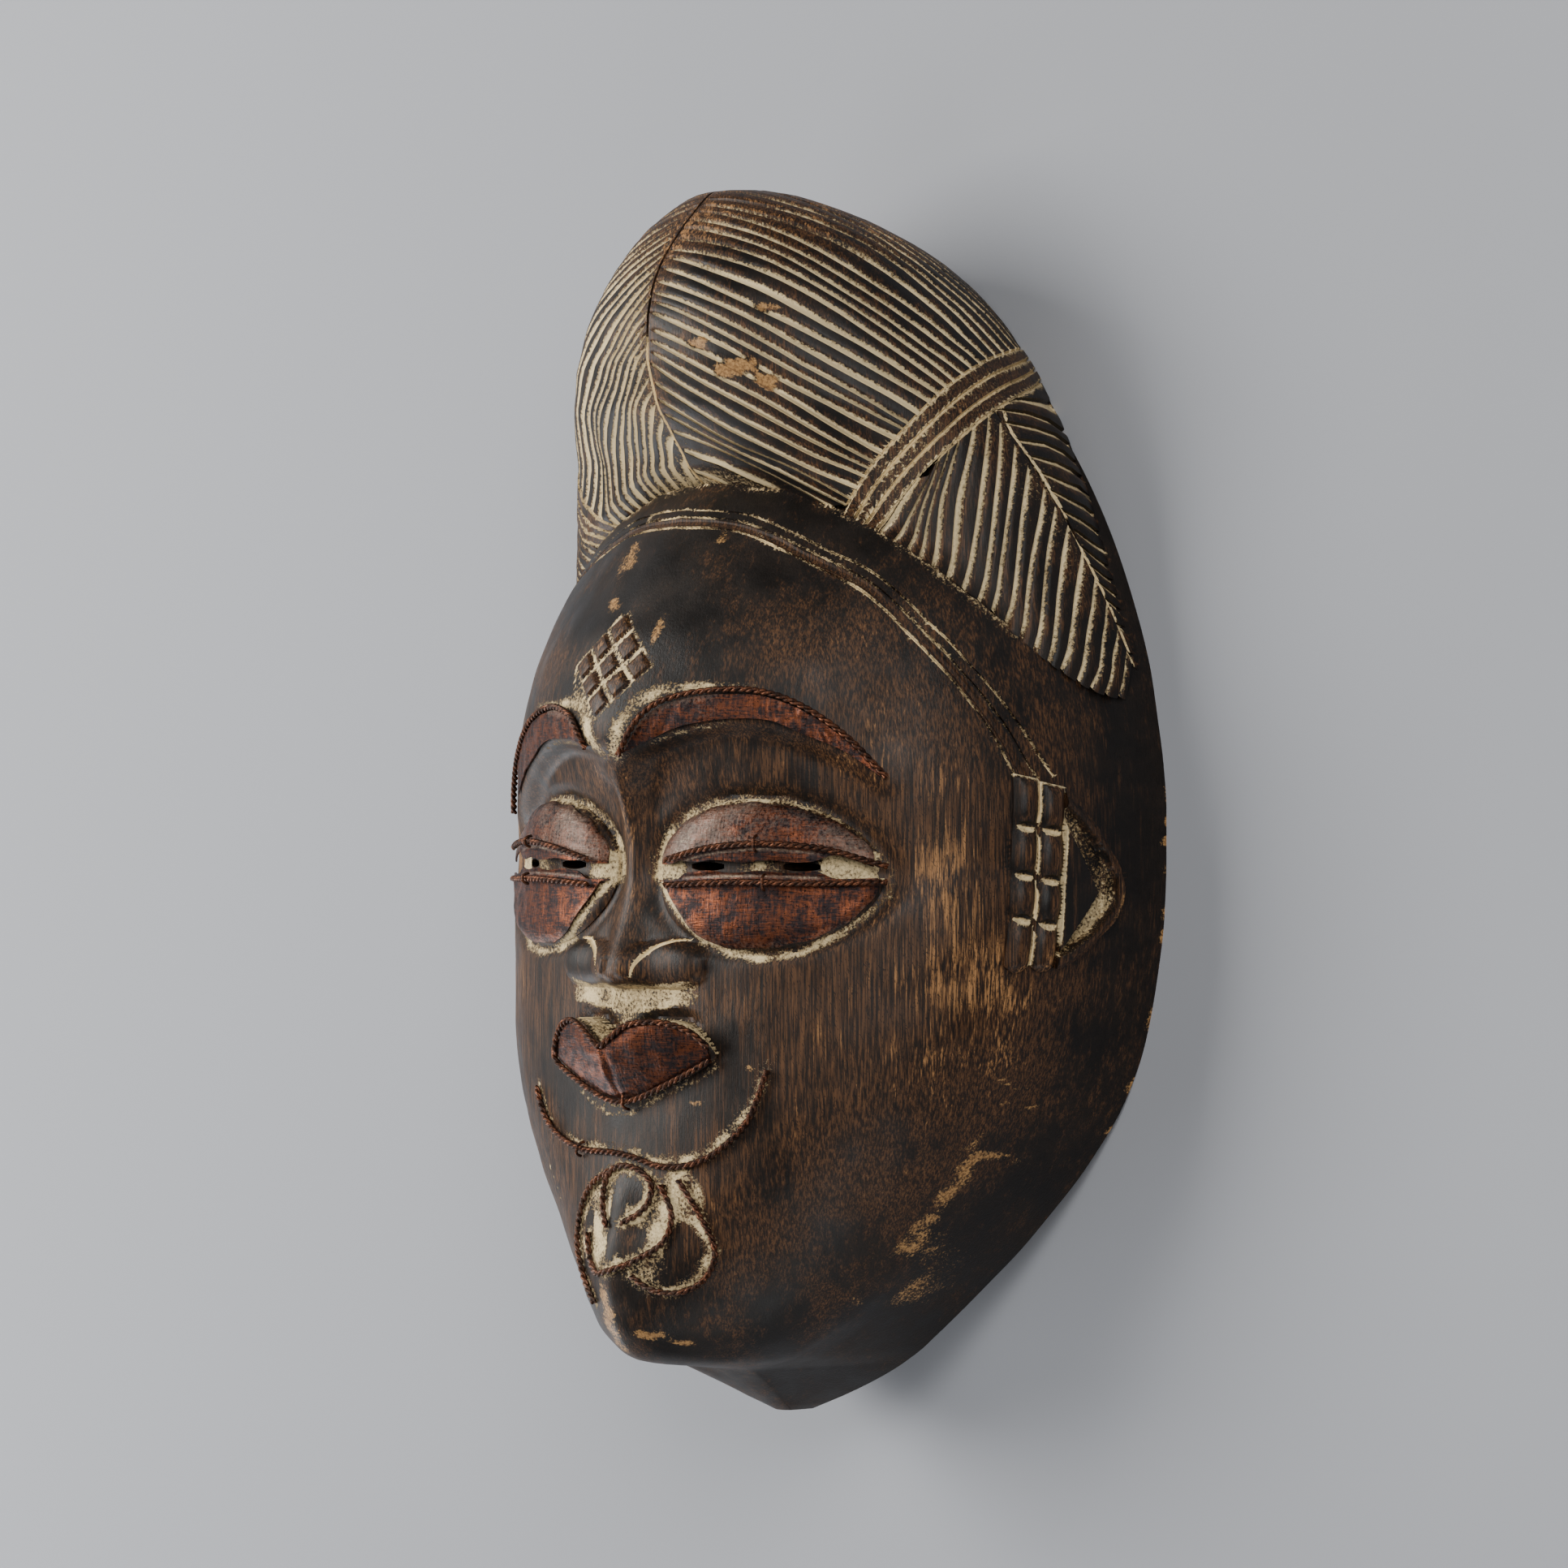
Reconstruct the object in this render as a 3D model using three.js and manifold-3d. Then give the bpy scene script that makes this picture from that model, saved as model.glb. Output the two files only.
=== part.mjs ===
// Carved wooden face mask with a high crest of gouged hair, copper sheet on the brows,
// eyelids and lips, and twisted copper wire around them. The mask lies on the back of
// its rim. Millimetres. x runs across the face, y from the chin tip to the crest, z out
// of the face. Heights in the tables are measured from the chin tip.
import * as THREE from 'three';
import { mergeVertices } from 'three/addons/utils/BufferGeometryUtils.js';
import Module from 'manifold-3d';

const wasm = await Module();
wasm.setup();

// Overall length, and the copper work.
const LENGTH = 330;
const SHEET = 0.4;
const WIRE_RADIUS = 0.9;
const GAP = 0.35;
const STAPLE_RADIUS = 0.4;

// Horizontal sections of the face and its collar:
// height, front depth, jaw half width, jaw depth, rim half width, rim depth, roundness.
const FACE = [
  [0, 42, 3, 40, 4, 33, 2],
  [5, 52, 7, 49, 15.5, 30, 2],
  [10, 61.5, 11, 58, 25, 27, 2],
  [13.5, 69.5, 14.5, 64, 30.5, 25.2, 2],
  [15, 83, 19.5, 62.5, 32.5, 24.5, 1.7],
  [17, 92.5, 25, 61, 35, 23.4, 1.6],
  [21, 99, 32, 59, 39, 21.6, 1.5],
  [27, 103, 40, 56, 44.5, 18.6, 1.5],
  [35, 104.5, 49, 51.5, 51.5, 14.8, 1.52],
  [45, 104, 58, 46.5, 60.5, 10.8, 1.63],
  [53, 102, 64, 42.5, 67, 8.2, 1.79],
  [67.5, 100, 73.5, 36.5, 78, 4, 2.04],
  [86, 99, 83.5, 31, 89.5, 1, 2.17],
  [102, 98.5, 90.5, 27, 95.8, 0, 2.12],
  [118, 98.5, 95, 23.5, 99.7, 0, 2.03],
  [135, 98, 98, 21, 102.3, 0, 1.99],
  [150, 98.5, 98.8, 19, 103, 0, 1.93],
  [163, 99.5, 98.6, 17.5, 103, 0, 1.94],
  [175, 102.5, 97.6, 16.5, 102, 0, 1.88],
  [187, 105, 95.6, 15, 100, 0, 1.8],
  [200, 103, 92.5, 13.5, 97.5, 0, 1.78],
  [208, 100.3, 90.3, 12.5, 95.2, 0, 1.77],
  [217, 95, 87.2, 11.5, 92, 0, 1.79],
  [226, 89.5, 83.5, 10.5, 88.4, 0, 1.77],
  [235, 83.3, 79.5, 9.5, 84.3, 0, 1.75],
  [244, 76.5, 75, 8.5, 79.5, 0, 1.75],
  [256, 64, 67, 7, 72, 0, 1.76],
  [270, 50, 56, 5, 61, 0, 1.83],
  [285, 34, 40, 4, 45, 0, 2.05],
  [298, 10, 24, 2, 28, 0, 2],
];

// Horizontal sections of the crest: height, depth of the centre, half depth, half width.
const CREST = [
  [188, 8, 60, 98.5],
  [200, 10.5, 59.5, 96.8],
  [210, 13, 58.5, 94],
  [221, 15.5, 57, 90.8],
  [232, 18.3, 55.5, 87.5],
  [241.7, 21, 53.3, 85.2],
  [250.4, 23.2, 52.3, 82.8],
  [256, 24.6, 52.7, 80.5],
  [263.6, 26.4, 56.1, 76.6],
  [272.4, 28.8, 59.5, 71.2],
  [281.1, 31.3, 59.6, 66.2],
  [287.7, 33.4, 57.6, 62.4],
  [294.3, 35.4, 54.7, 59],
  [303.1, 38.2, 48.4, 53.4],
  [309, 41, 42.2, 49],
  [315, 44.8, 34.2, 43],
  [320.6, 49.2, 25.6, 35],
  [325, 53, 17.9, 26],
  [327.6, 55.8, 12.6, 18.6],
  [329.3, 58.4, 7.2, 10.6],
  [330, 60, 0, 0],
];

// The hollow behind the face: height, half width at the rim, depth.
const HOLLOW = [
  [14, 13, 44],
  [18, 21, 61],
  [25, 31, 76],
  [38, 43.5, 86],
  [60, 61, 87],
  [86, 77, 85.5],
  [112, 86, 84],
  [150, 91, 83],
  [178, 89.5, 85],
  [203, 84, 83],
  [225, 75.5, 73],
  [250, 64, 61],
  [270, 52, 60],
  [286, 39, 54],
  [296, 20, 36],
  [299, 6, 16],
];

// Front view drawing: half width against height, both sides alike.
const HAIRLINE = [[0, 250.6], [22, 249], [46, 241], [62, 231], [75.5, 219.4], [91.8, 199.3], [97, 193], [112, 184]];
const BROW_TOP = [[2.8, 180.4], [9, 187.3], [16.5, 192.2], [24, 194.3], [31, 195], [40, 194.8], [48, 192.8],
  [59.5, 186.2], [70.8, 172.8]];
const BROW_FOOT = [[2.8, 178.6], [9, 181.5], [16, 184.3], [22.7, 185.9], [35.5, 186.8], [47.4, 185.3],
  [60.2, 178.5], [70.8, 171.2]];
const NOSE_LINE = [[112, 98.9], [114.8, 99.3], [116.6, 105], [118, 105.6], [122, 104.1], [128, 101.2],
  [134, 98.4], [140, 96.2], [146, 94.9], [152, 94.8], [160, 97], [168, 101], [176, 105], [184.6, 108.2],
  [193, 106.4], [202, 102.6]];
const LIP_TOP = [[0, 101.6], [8, 105.8], [17, 107.3], [22, 107], [26, 105], [29.5, 101.5], [30.8, 99.2]];
const LIP_FOOT = [[0, 85.7], [8, 87.5], [16, 90.8], [23, 93.6], [29, 97], [30.8, 98.2]];
const LID_TOP_WIRE = [[14.5, 150], [28.6, 153.4], [42.2, 154.7], [58, 153.2], [71, 148.6]];
const LID_FOOT_WIRE = [[14.5, 143.4], [28.2, 144.2], [40.3, 144.4], [56, 144], [71, 144.4]];
const EYE = { x: 39.5, y: 146, halfWidth: 32.5, halfHeight: 20.5 };
const SLITS = [[20.5, 31], [47, 55.5]];
const SLIT_HEIGHT = 2.3;
const LOZENGE = { x: -2.5, y: 201.8, halfWidth: 16.5, halfHeight: 14.5 };
const MOUTH_ARC = [[-42, 88], [-37, 80.5], [-29.8, 76], [-17.2, 72.6], [-5, 72.3], [3.8, 71.4], [12.5, 69.4],
  [20, 69.6], [27.1, 71.8], [34, 76.5], [39.8, 83], [44.7, 95.3]];
const CHIN_INNER = [[-1.6, 68.2], [5, 67.6], [10.4, 63.4], [9, 58], [2, 53.6]];
const CHIN_MIDDLE = [[13, 64.4], [16.5, 57], [14.5, 49.6], [8, 45], [1, 41.8], [-4.6, 40.4], [-9.6, 43.2],
  [-12.8, 50.5]];
const CHIN_OUTER = [[18.5, 66], [24, 57.4], [27.1, 47.6], [23, 39.8], [16, 36.6], [9, 38.6]];
const CHIN_FAR = [[-6.7, 67.3], [-13.8, 63.6], [-18.8, 57.4], [-21, 48.3], [-17.8, 38.8], [-10.6, 32.4]];

// Hair, right side, as points in the air next to the crest that are then drawn in to it.
const SIDE_PANEL = [
  [[0, 255, 77], [14, 252, 75], [30, 247, 70]],
  [[0, 264.5, 83], [28, 257, 77], [52, 248, 64]],
  [[0, 275.2, 89], [34, 266, 80], [61.6, 256.7, 58.6]],
  [[0, 285.8, 91], [38, 275, 79], [67, 264, 53]],
  [[0, 296.8, 89.3], [44.6, 284.4, 74.7], [69, 275, 41]],
  [[0, 318, 76], [40.9, 300.9, 70.9], [63, 287, 21]],
  [[0, 329, 64], [44, 310, 52], [45, 293, 1]],
  [[0, 326, 36], [22, 317, 24], [33, 304, 1]],
  [[0, 317, 12], [9, 313, 7], [16, 308.5, 1]],
];
const BAND = [
  [[44, 244, 66], [60.5, 265, 58], [66, 280, 38], [53, 291, 1]],
  [[55, 235, 62], [70.5, 257, 51], [74, 272, 32], [64, 281, 1]],
];
const FAN = [
  [[60, 243, 60], [58, 239, 61], [56, 235, 62]],
  [[72, 260, 47.6], [69, 245, 53], [64.7, 229, 55.7]],
  [[74.5, 267, 31.1], [77, 245, 42], [76.5, 216, 46.5]],
  [[80, 255, 25], [83, 232, 35], [83.5, 208, 37]],
  [[86, 240, 19], [88, 222, 26], [88.5, 201, 29]],
  [[91, 221, 12], [92, 208, 17], [93.5, 196, 19]],
  [[96, 203, 9.5], [96, 198, 10], [96.5, 192, 10]],
];
const BACK_PANEL = [
  [[74.5, 269, 31], [71, 270, 16], [66, 271, 1]],
  [[80, 255, 25], [78, 256, 13], [75, 257, 1]],
  [[84.5, 244.4, 20.4], [83, 243, 10], [81, 241, 1]],
  [[90.6, 220.8, 11.2], [90, 219, 6], [88, 216, 1]],
  [[96, 200, 9], [95, 199, 5], [93, 197, 1]],
];
const HAIR_GROOVE = 1.2;
const HAIR_STEP = 3;
const HAIR_ROOT = 6.5;

// Ear, drawn from the side: depth against height.
const EAR_FRONT = 49;
const EAR_COLUMNS = [41, 32.5];
const EAR_BACK = [[168.5, 32], [157.3, 18.5], [145.1, 12], [137.2, 13.2], [128.7, 18.4], [121, 33]];
const EAR_FOOT = 121;
const EAR_LIFT = 2.6;
const EAR_LEAVES = [[45, [158.5, 145.5, 133.5]], [37, [157, 144, 132]]];
const EAR_PANEL = [[31.5, 160], [21, 142], [30, 127.5]];

const WOOD = { color: 0x2b1c13, roughness: 0.5, metalness: 0 };
const COPPER_SHEET = { color: 0x6e3a26, roughness: 0.45, metalness: 0.9 };
const COPPER_WIRE = { color: 0x6b4632, roughness: 0.5, metalness: 0.9 };

// Smooth curve through the key rows of a table, without overshoot between them.
function slopes(keys, column) {
  const step = [];
  for (let i = 0; i + 1 < keys.length; i += 1) {
    step.push((keys[i + 1][column] - keys[i][column]) / (keys[i + 1][0] - keys[i][0]));
  }
  return keys.map((key, i) => {
    if (i === 0) return step[0];
    if (i === keys.length - 1) return step[i - 1];
    if (step[i - 1] * step[i] <= 0) return 0;
    const before = keys[i][0] - keys[i - 1][0];
    const after = keys[i + 1][0] - keys[i][0];
    const left = 2 * after + before;
    const right = after + 2 * before;
    return (left + right) / (left / step[i - 1] + right / step[i]);
  });
}

const slopeStore = new Map();

function along(keys, column, at) {
  if (!slopeStore.has(keys)) slopeStore.set(keys, []);
  const store = slopeStore.get(keys);
  if (!store[column]) store[column] = slopes(keys, column);
  const m = store[column];
  let i = 0;
  while (i < keys.length - 2 && at > keys[i + 1][0]) i += 1;
  const span = keys[i + 1][0] - keys[i][0];
  const t = THREE.MathUtils.clamp((at - keys[i][0]) / span, 0, 1);
  const u = 1 - t;
  return (1 + 2 * t) * u * u * keys[i][column] + t * u * u * span * m[i]
    + t * t * (3 - 2 * t) * keys[i + 1][column] - t * t * u * span * m[i + 1];
}

const ramp = (from, to, at) => THREE.MathUtils.smoothstep(at, from, to);
const hill = (at, width) => Math.exp(-(at * at) / (2 * width * width));

// Face surface at a height, across from the middle (0) to the jaw (1) and the rim (2).
function facePlan(height, across) {
  const [depth, jawX, jawZ, rimX, rimZ, power] = [1, 2, 3, 4, 5, 6].map((k) => along(FACE, k, height));
  const side = Math.sign(across);
  const f = Math.min(Math.abs(across), 1);
  const collar = Math.max(Math.abs(across) - 1, 0);
  const x = jawX * f;
  const z = jawZ + (depth - jawZ) * (1 - f ** power) ** (1 / power);
  return new THREE.Vector3(side * (x + (rimX - jawX) * collar), height, z + (rimZ - jawZ) * collar);
}

function eyeDistance(x, height) {
  return Math.hypot((Math.abs(x) - EYE.x) / EYE.halfWidth, (height - EYE.y) / EYE.halfHeight);
}

// Sockets sink under the brows, and the nose line stands between them down to the tip.
function socket(x, height) {
  const s = Math.abs(x);
  const below = along(BROW_FOOT, 1, Math.max(s, 2.8)) - height;
  return -4.5 * ramp(-0.5, 5.5, below) * ramp(131, 150, height) * (1 - ramp(56, 78, s));
}

function relief(x, height) {
  const s = Math.abs(x);
  let lift = socket(x, height);
  if (height > 112 && height < 202) {
    const ridge = along(NOSE_LINE, 1, height) - along(FACE, 1, height) - socket(0, height);
    const width = 4.6 + 4.4 * (1 - ramp(118, 150, height)) + 7 * ramp(172, 186, height);
    lift += ridge * hill(x, width);
  }
  lift += 3 * hill(s - 14, 6.5) * ramp(115.5, 117.2, height) * (1 - ramp(121, 129, height));
  lift += 1.6 * hill(x, 4) * ramp(30, 40, height) * (1 - ramp(60, 70, height));
  const channel = eyeDistance(x, height) - 1;
  lift -= 1.3 * hill(channel, 0.06);
  return lift;
}

// The lids swell out of the channel round each eye.
function lidSwell(x, height) {
  const e = eyeDistance(x, height);
  if (e >= 0.97) return 0;
  return (2.6 + 3.6 * ramp(134, 154, height)) * (1 - (e / 0.97) ** 2) ** 0.6;
}

// The lips jut furthest along their upper edge.
function lipSwell(x, height) {
  const s = Math.min(Math.abs(x), 30.8);
  const top = along(LIP_TOP, 1, s);
  const foot = along(LIP_FOOT, 1, s);
  const v = THREE.MathUtils.clamp((height - foot) / (top - foot), 0, 1);
  return (0.9 + 9.3 * (1 - (s / 31.5) ** 2) ** 0.8) * (0.28 + 1.45 * v - 0.85 * v * v);
}

// Point on the face for a point of the front view, with its outward direction.
function onFace(x, height, lift = 0) {
  const at = (px, ph) => facePlan(ph, Math.sign(px) * Math.min(Math.abs(px) / along(FACE, 2, ph), 0.998));
  const d = 0.5;
  const p = at(x, height);
  const dx = at(x + d, height).sub(at(x - d, height));
  const dy = at(x, height + d).sub(at(x, height - d));
  const out = dx.cross(dy).normalize();
  return { p: p.addScaledVector(out, lift), out };
}

// Point on the side of the head for a point of the side view.
function onSide(side, depth, height, lift = 0) {
  const at = (pz, ph) => {
    const [front, jawX, jawZ, rimX, rimZ, power] = [1, 2, 3, 4, 5, 6].map((k) => along(FACE, k, ph));
    const up = THREE.MathUtils.clamp((pz - jawZ) / (front - jawZ), 0, 1);
    const down = THREE.MathUtils.clamp((jawZ - pz) / (jawZ - rimZ), 0, 1);
    return new THREE.Vector3(side * (jawX * (1 - up ** power) ** (1 / power) + (rimX - jawX) * down), ph, pz);
  };
  const dz = at(depth + 4, height).sub(at(depth - 4, height));
  const dy = at(depth, height + 2).sub(at(depth, height - 2));
  const out = dy.cross(dz).normalize();
  if (out.x * side < 0) out.negate();
  return { p: at(depth, height).addScaledVector(out, lift), out };
}

// Draw a point in or out to the crest along the ray from the middle of the crest.
function ontoCrest(x, height, z, lift) {
  const centre = new THREE.Vector3(0, 243, 14);
  const ray = new THREE.Vector3(x, height, z).sub(centre).normalize();
  let near = 10;
  let far = 140;
  for (let i = 0; i < 30; i += 1) {
    const r = (near + far) / 2;
    const q = centre.clone().addScaledVector(ray, r);
    const [c, b, a] = [1, 2, 3].map((k) => along(CREST, k, q.y));
    const inside = q.y < LENGTH && a > 0 && (q.x / a) ** 2 + ((q.z - c) / b) ** 2 < 1;
    if (inside) near = r;
    else far = r;
  }
  return centre.addScaledVector(ray, near + lift);
}

// Closed mesh from points and triangles, with the faces turned outwards.
function closedMesh(points, triangles) {
  const geometry = new THREE.BufferGeometry();
  const flat = points.flatMap((p) => [p.x, p.y, p.z]);
  geometry.setAttribute('position', new THREE.Float32BufferAttribute(flat, 3));
  geometry.setIndex(triangles.flat());
  const merged = mergeVertices(geometry, 1e-4);
  const index = Array.from(merged.index.array);
  const kept = [];
  for (let i = 0; i < index.length; i += 3) {
    const [a, b, c] = index.slice(i, i + 3);
    if (a !== b && b !== c && a !== c) kept.push(a, b, c);
  }
  merged.setIndex(kept);
  return merged;
}

function toSolid(geometry) {
  const vertProperties = Float32Array.from(geometry.attributes.position.array);
  const triVerts = Uint32Array.from(geometry.index.array);
  const solid = new wasm.Manifold(new wasm.Mesh({ numProp: 3, vertProperties, triVerts }));
  if (solid.volume() >= 0) return solid;
  const turned = Uint32Array.from(triVerts);
  for (let i = 0; i < turned.length; i += 3) {
    [turned[i + 1], turned[i + 2]] = [turned[i + 2], turned[i + 1]];
  }
  return new wasm.Manifold(new wasm.Mesh({ numProp: 3, vertProperties, triVerts: turned }));
}

// Stack of closed rings with flat ends.
function ringStack(rings) {
  const points = rings.flat();
  const n = rings[0].length;
  const triangles = [];
  for (let i = 0; i + 1 < rings.length; i += 1) {
    for (let j = 0; j < n; j += 1) {
      const k = (j + 1) % n;
      triangles.push([i * n + j, i * n + k, (i + 1) * n + k], [i * n + j, (i + 1) * n + k, (i + 1) * n + j]);
    }
  }
  const last = (rings.length - 1) * n;
  for (let j = 1; j + 1 < n; j += 1) {
    triangles.push([0, j + 1, j], [last, last + j, last + j + 1]);
  }
  return toSolid(closedMesh(points, triangles));
}

// Curved plate between an upper and a lower sheet of points over the same grid.
function plate(rows, columns, upper, lower) {
  const points = [];
  for (const sheet of [upper, lower]) {
    for (let i = 0; i <= rows; i += 1) {
      for (let j = 0; j <= columns; j += 1) points.push(sheet(i, j));
    }
  }
  const n = columns + 1;
  const base = (rows + 1) * n;
  const triangles = [];
  for (let i = 0; i < rows; i += 1) {
    for (let j = 0; j < columns; j += 1) {
      const a = i * n + j;
      triangles.push([a, a + 1, a + n + 1], [a, a + n + 1, a + n]);
      triangles.push([base + a, base + a + n + 1, base + a + 1], [base + a, base + a + n, base + a + n + 1]);
    }
  }
  const edge = [];
  for (let j = 0; j < columns; j += 1) edge.push(j);
  for (let i = 0; i < rows; i += 1) edge.push(i * n + columns);
  for (let j = columns; j > 0; j -= 1) edge.push(rows * n + j);
  for (let i = rows; i > 0; i -= 1) edge.push(i * n);
  edge.forEach((a, i) => {
    const b = edge[(i + 1) % edge.length];
    triangles.push([a, base + a, base + b], [a, base + b, b]);
  });
  return toSolid(closedMesh(points, triangles));
}

// Plate laid on the face: plan gives the front view point of each grid corner.
function laidOnFace(rows, columns, plan, topLift, footLift) {
  const sheet = (liftOf) => (i, j) => {
    const [x, height] = plan(i / rows, j / columns);
    return onFace(x, height, liftOf(x, height)).p;
  };
  return plate(rows, columns, sheet(topLift), sheet(footLift));
}

// Round wire through points, with the given out direction at each of them.
function wire(stations, radius, sides = 5) {
  const rings = stations.map(({ p, out }, i) => {
    const before = stations[Math.max(i - 1, 0)].p;
    const after = stations[Math.min(i + 1, stations.length - 1)].p;
    const run = after.clone().sub(before).normalize();
    const across = run.clone().cross(out).normalize();
    const up = across.clone().cross(run);
    return Array.from({ length: sides }, (_, k) => {
      const a = (2 * Math.PI * (k + 0.5)) / sides;
      return p.clone().addScaledVector(across, radius * Math.cos(a)).addScaledVector(up, radius * Math.sin(a));
    });
  });
  return ringStack(rings);
}

// Even steps along a drawn polyline, rounded as a centripetal spline.
function drawn(points, steps) {
  const curve = new THREE.CatmullRomCurve3(points.map(([x, y, z = 0]) => new THREE.Vector3(x, y, z)), false, 'centripetal');
  return curve.getSpacedPoints(steps);
}

function woodLift(x, height) {
  let lift = relief(x, height) + lidSwell(x, height);
  const s = Math.abs(x);
  if (s < 30.8 && height < along(LIP_TOP, 1, s) + 0.4 && height > along(LIP_FOOT, 1, s) - 0.4) {
    lift += lipSwell(x, height);
  }
  return lift;
}

function wireOnFace(points, steps, clearance) {
  const stations = drawn(points, steps).map(({ x, y }) => {
    const around = [[0, 0], [1, 0], [-1, 0], [0, 1], [0, -1]];
    const lift = Math.max(...around.map(([dx, dy]) => woodLift(x + dx, y + dy)));
    return onFace(x, y, lift + clearance + WIRE_RADIUS);
  });
  return wire(stations, WIRE_RADIUS);
}

const mirrored = (points) => points.map(([x, ...rest]) => [-x, ...rest]);

// Outer shell of the face: denser rows over the features.
const SHELL_ROWS = [0, 6, 13.5, 15, 17, 21, 27, 35, 46, 57, 68, 79, 91, 103, 111, 115.2, 117.4, 122, 127, 133,
  140, 147, 154, 160, 165.5, 171, 176, 180.5, 184.5, 189, 195, 203, 213, 224, 236, 250, 272];
const SHELL_COLUMNS = [0, 0.04, 0.09, 0.15, 0.22, 0.3, 0.4, 0.51, 0.63, 0.74, 0.84, 0.93, 0.985, 1, 2];

function faceShell() {
  const half = SHELL_COLUMNS.slice(1);
  const columns = [...half.slice().reverse().map((f) => -f), ...SHELL_COLUMNS];
  const rings = SHELL_ROWS.map((height) => columns.map((f) => {
    const p = facePlan(height, f);
    if (height < 20 || height > 240 || Math.abs(f) >= 0.9) return p;
    return onFace(p.x, height, relief(p.x, height)).p;
  }));
  return ringStack(rings);
}

function crestCore() {
  const heights = [...CREST.map((row) => row[0]).slice(0, -1), 329.8];
  const count = 16;
  return ringStack(heights.map((height) => Array.from({ length: count }, (_, k) => {
    const t = (2 * Math.PI * k) / count;
    const [c, b, a] = [1, 2, 3].map((col) => along(CREST, col, height));
    const inset = Math.min(HAIR_STEP, b * 0.4);
    const top = Math.min(height, LENGTH - HAIR_STEP - 0.05 * (LENGTH - height));
    return new THREE.Vector3((a - inset) * Math.sin(t), top, c + (b - inset) * Math.cos(t));
  })));
}

// Family of lines between the key lines, at an even share of the way from first to last.
function familyLine(keys, share) {
  const count = keys[0].length;
  const table = keys.map((line, i) => [i / (keys.length - 1), ...line.flat()]);
  const line = [];
  for (let k = 0; k < count; k += 1) {
    line.push([1, 2, 3].map((axis) => along(table, 3 * k + axis, share)));
  }
  return line;
}

// Strip of hair on one side (-1 or 1) or from side to side across the parting (0):
// ridges at the surface and grooves between them.
function hairPanel(keys, grooves, steps, side) {
  const lines = 2 * grooves;
  const first = side === 0 ? -steps : 0;
  const grid = [];
  for (let i = 0; i <= lines; i += 1) {
    grid.push(drawn(familyLine(keys, i / lines), steps));
  }
  const sheet = (lift) => (i, j) => {
    const turn = side === 0 ? Math.sign(first + j) : side;
    const { x, y, z } = grid[i][Math.abs(first + j)];
    const p = ontoCrest(x, y, z, lift(i));
    return new THREE.Vector3(turn * p.x, p.y, p.z);
  };
  return plate(lines, steps - first, sheet((i) => (i % 2 ? -HAIR_GROOVE : 0)), sheet(() => -HAIR_ROOT));
}

function prism(outline, from, to) {
  const ring = (z) => outline.map(([x, y]) => new THREE.Vector3(x, y, z));
  return ringStack([ring(from), ring(to)]);
}

function hairCut() {
  const steps = 14;
  const edge = [];
  for (let i = -steps; i <= steps; i += 1) {
    const s = Math.abs((112 * i) / steps);
    edge.push([(112 * i) / steps, along(HAIRLINE, 1, s)]);
  }
  return prism([...edge, [112, 150], [-112, 150]], -10, 140);
}

function crest() {
  let hair = crestCore();
  hair = hair.add(hairPanel(SIDE_PANEL, 18, 4, 0));
  for (const side of [-1, 1]) {
    hair = hair.add(hairPanel(FAN, 11, 2, side));
    hair = hair.add(hairPanel(BACK_PANEL, 10, 1, side));
    hair = hair.add(hairPanel(BAND, 4, 4, side));
  }
  return hair.subtract(hairCut());
}

// Eyelid, lip, lozenge and ear carved standing out of the face.
function eyelid(side) {
  const plan = (u, v) => {
    const a = Math.PI * (0.03 + 0.94 * u);
    const x = EYE.x - 0.95 * EYE.halfWidth * Math.cos(a);
    const reach = 0.95 * EYE.halfHeight * Math.sin(a);
    return [side * x, EYE.y + reach * (2 * v - 1)];
  };
  return laidOnFace(9, 3, plan, (x, h) => relief(x, h) + lidSwell(x, h), () => -9);
}

const lipPlan = (margin) => (u, v) => {
  const x = 30.7 * (2 * u - 1);
  const foot = along(LIP_FOOT, 1, Math.abs(x));
  const top = along(LIP_TOP, 1, Math.abs(x));
  return [x, foot + margin + (top - foot - 2 * margin) * v];
};

function lips() {
  return laidOnFace(12, 3, lipPlan(0), (x, h) => relief(x, h) + lipSwell(x, h), () => -3);
}

function lozengeGrid(u, v) {
  return [LOZENGE.x + LOZENGE.halfWidth * (u - v), LOZENGE.y + LOZENGE.halfHeight * (u + v - 1)];
}

function lozenge() {
  const cells = 3;
  const step = 1 / cells;
  let raised = null;
  for (let i = 0; i < cells; i += 1) {
    for (let j = 0; j < cells; j += 1) {
      const plan = (u, v) => lozengeGrid((i + 0.08 + 0.84 * u) * step, (j + 0.08 + 0.84 * v) * step);
      const cell = laidOnFace(1, 1, plan, (x, h) => relief(x, h) + 1.1, () => -3);
      raised = raised ? raised.add(cell) : cell;
    }
  }
  return raised;
}

// Pointed cut on the side of the head, given by its outline and its deepest point.
function sideCut(side, outline, depth) {
  const at = outline.map(([z, height]) => onSide(side, z, height, EAR_LIFT + 0.3).p);
  const middle = outline.reduce(([a, b], [z, height]) => [a + z / outline.length, b + height / outline.length], [0, 0]);
  const n = at.length;
  const floor = onSide(side, middle[0], middle[1], EAR_LIFT - depth).p;
  const roof = onSide(side, middle[0], middle[1], EAR_LIFT + 2).p;
  const triangles = at.flatMap((_, i) => [[i, (i + 1) % n, n], [(i + 1) % n, i, n + 1]]);
  return toSolid(closedMesh([...at, floor, roof], triangles));
}

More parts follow.
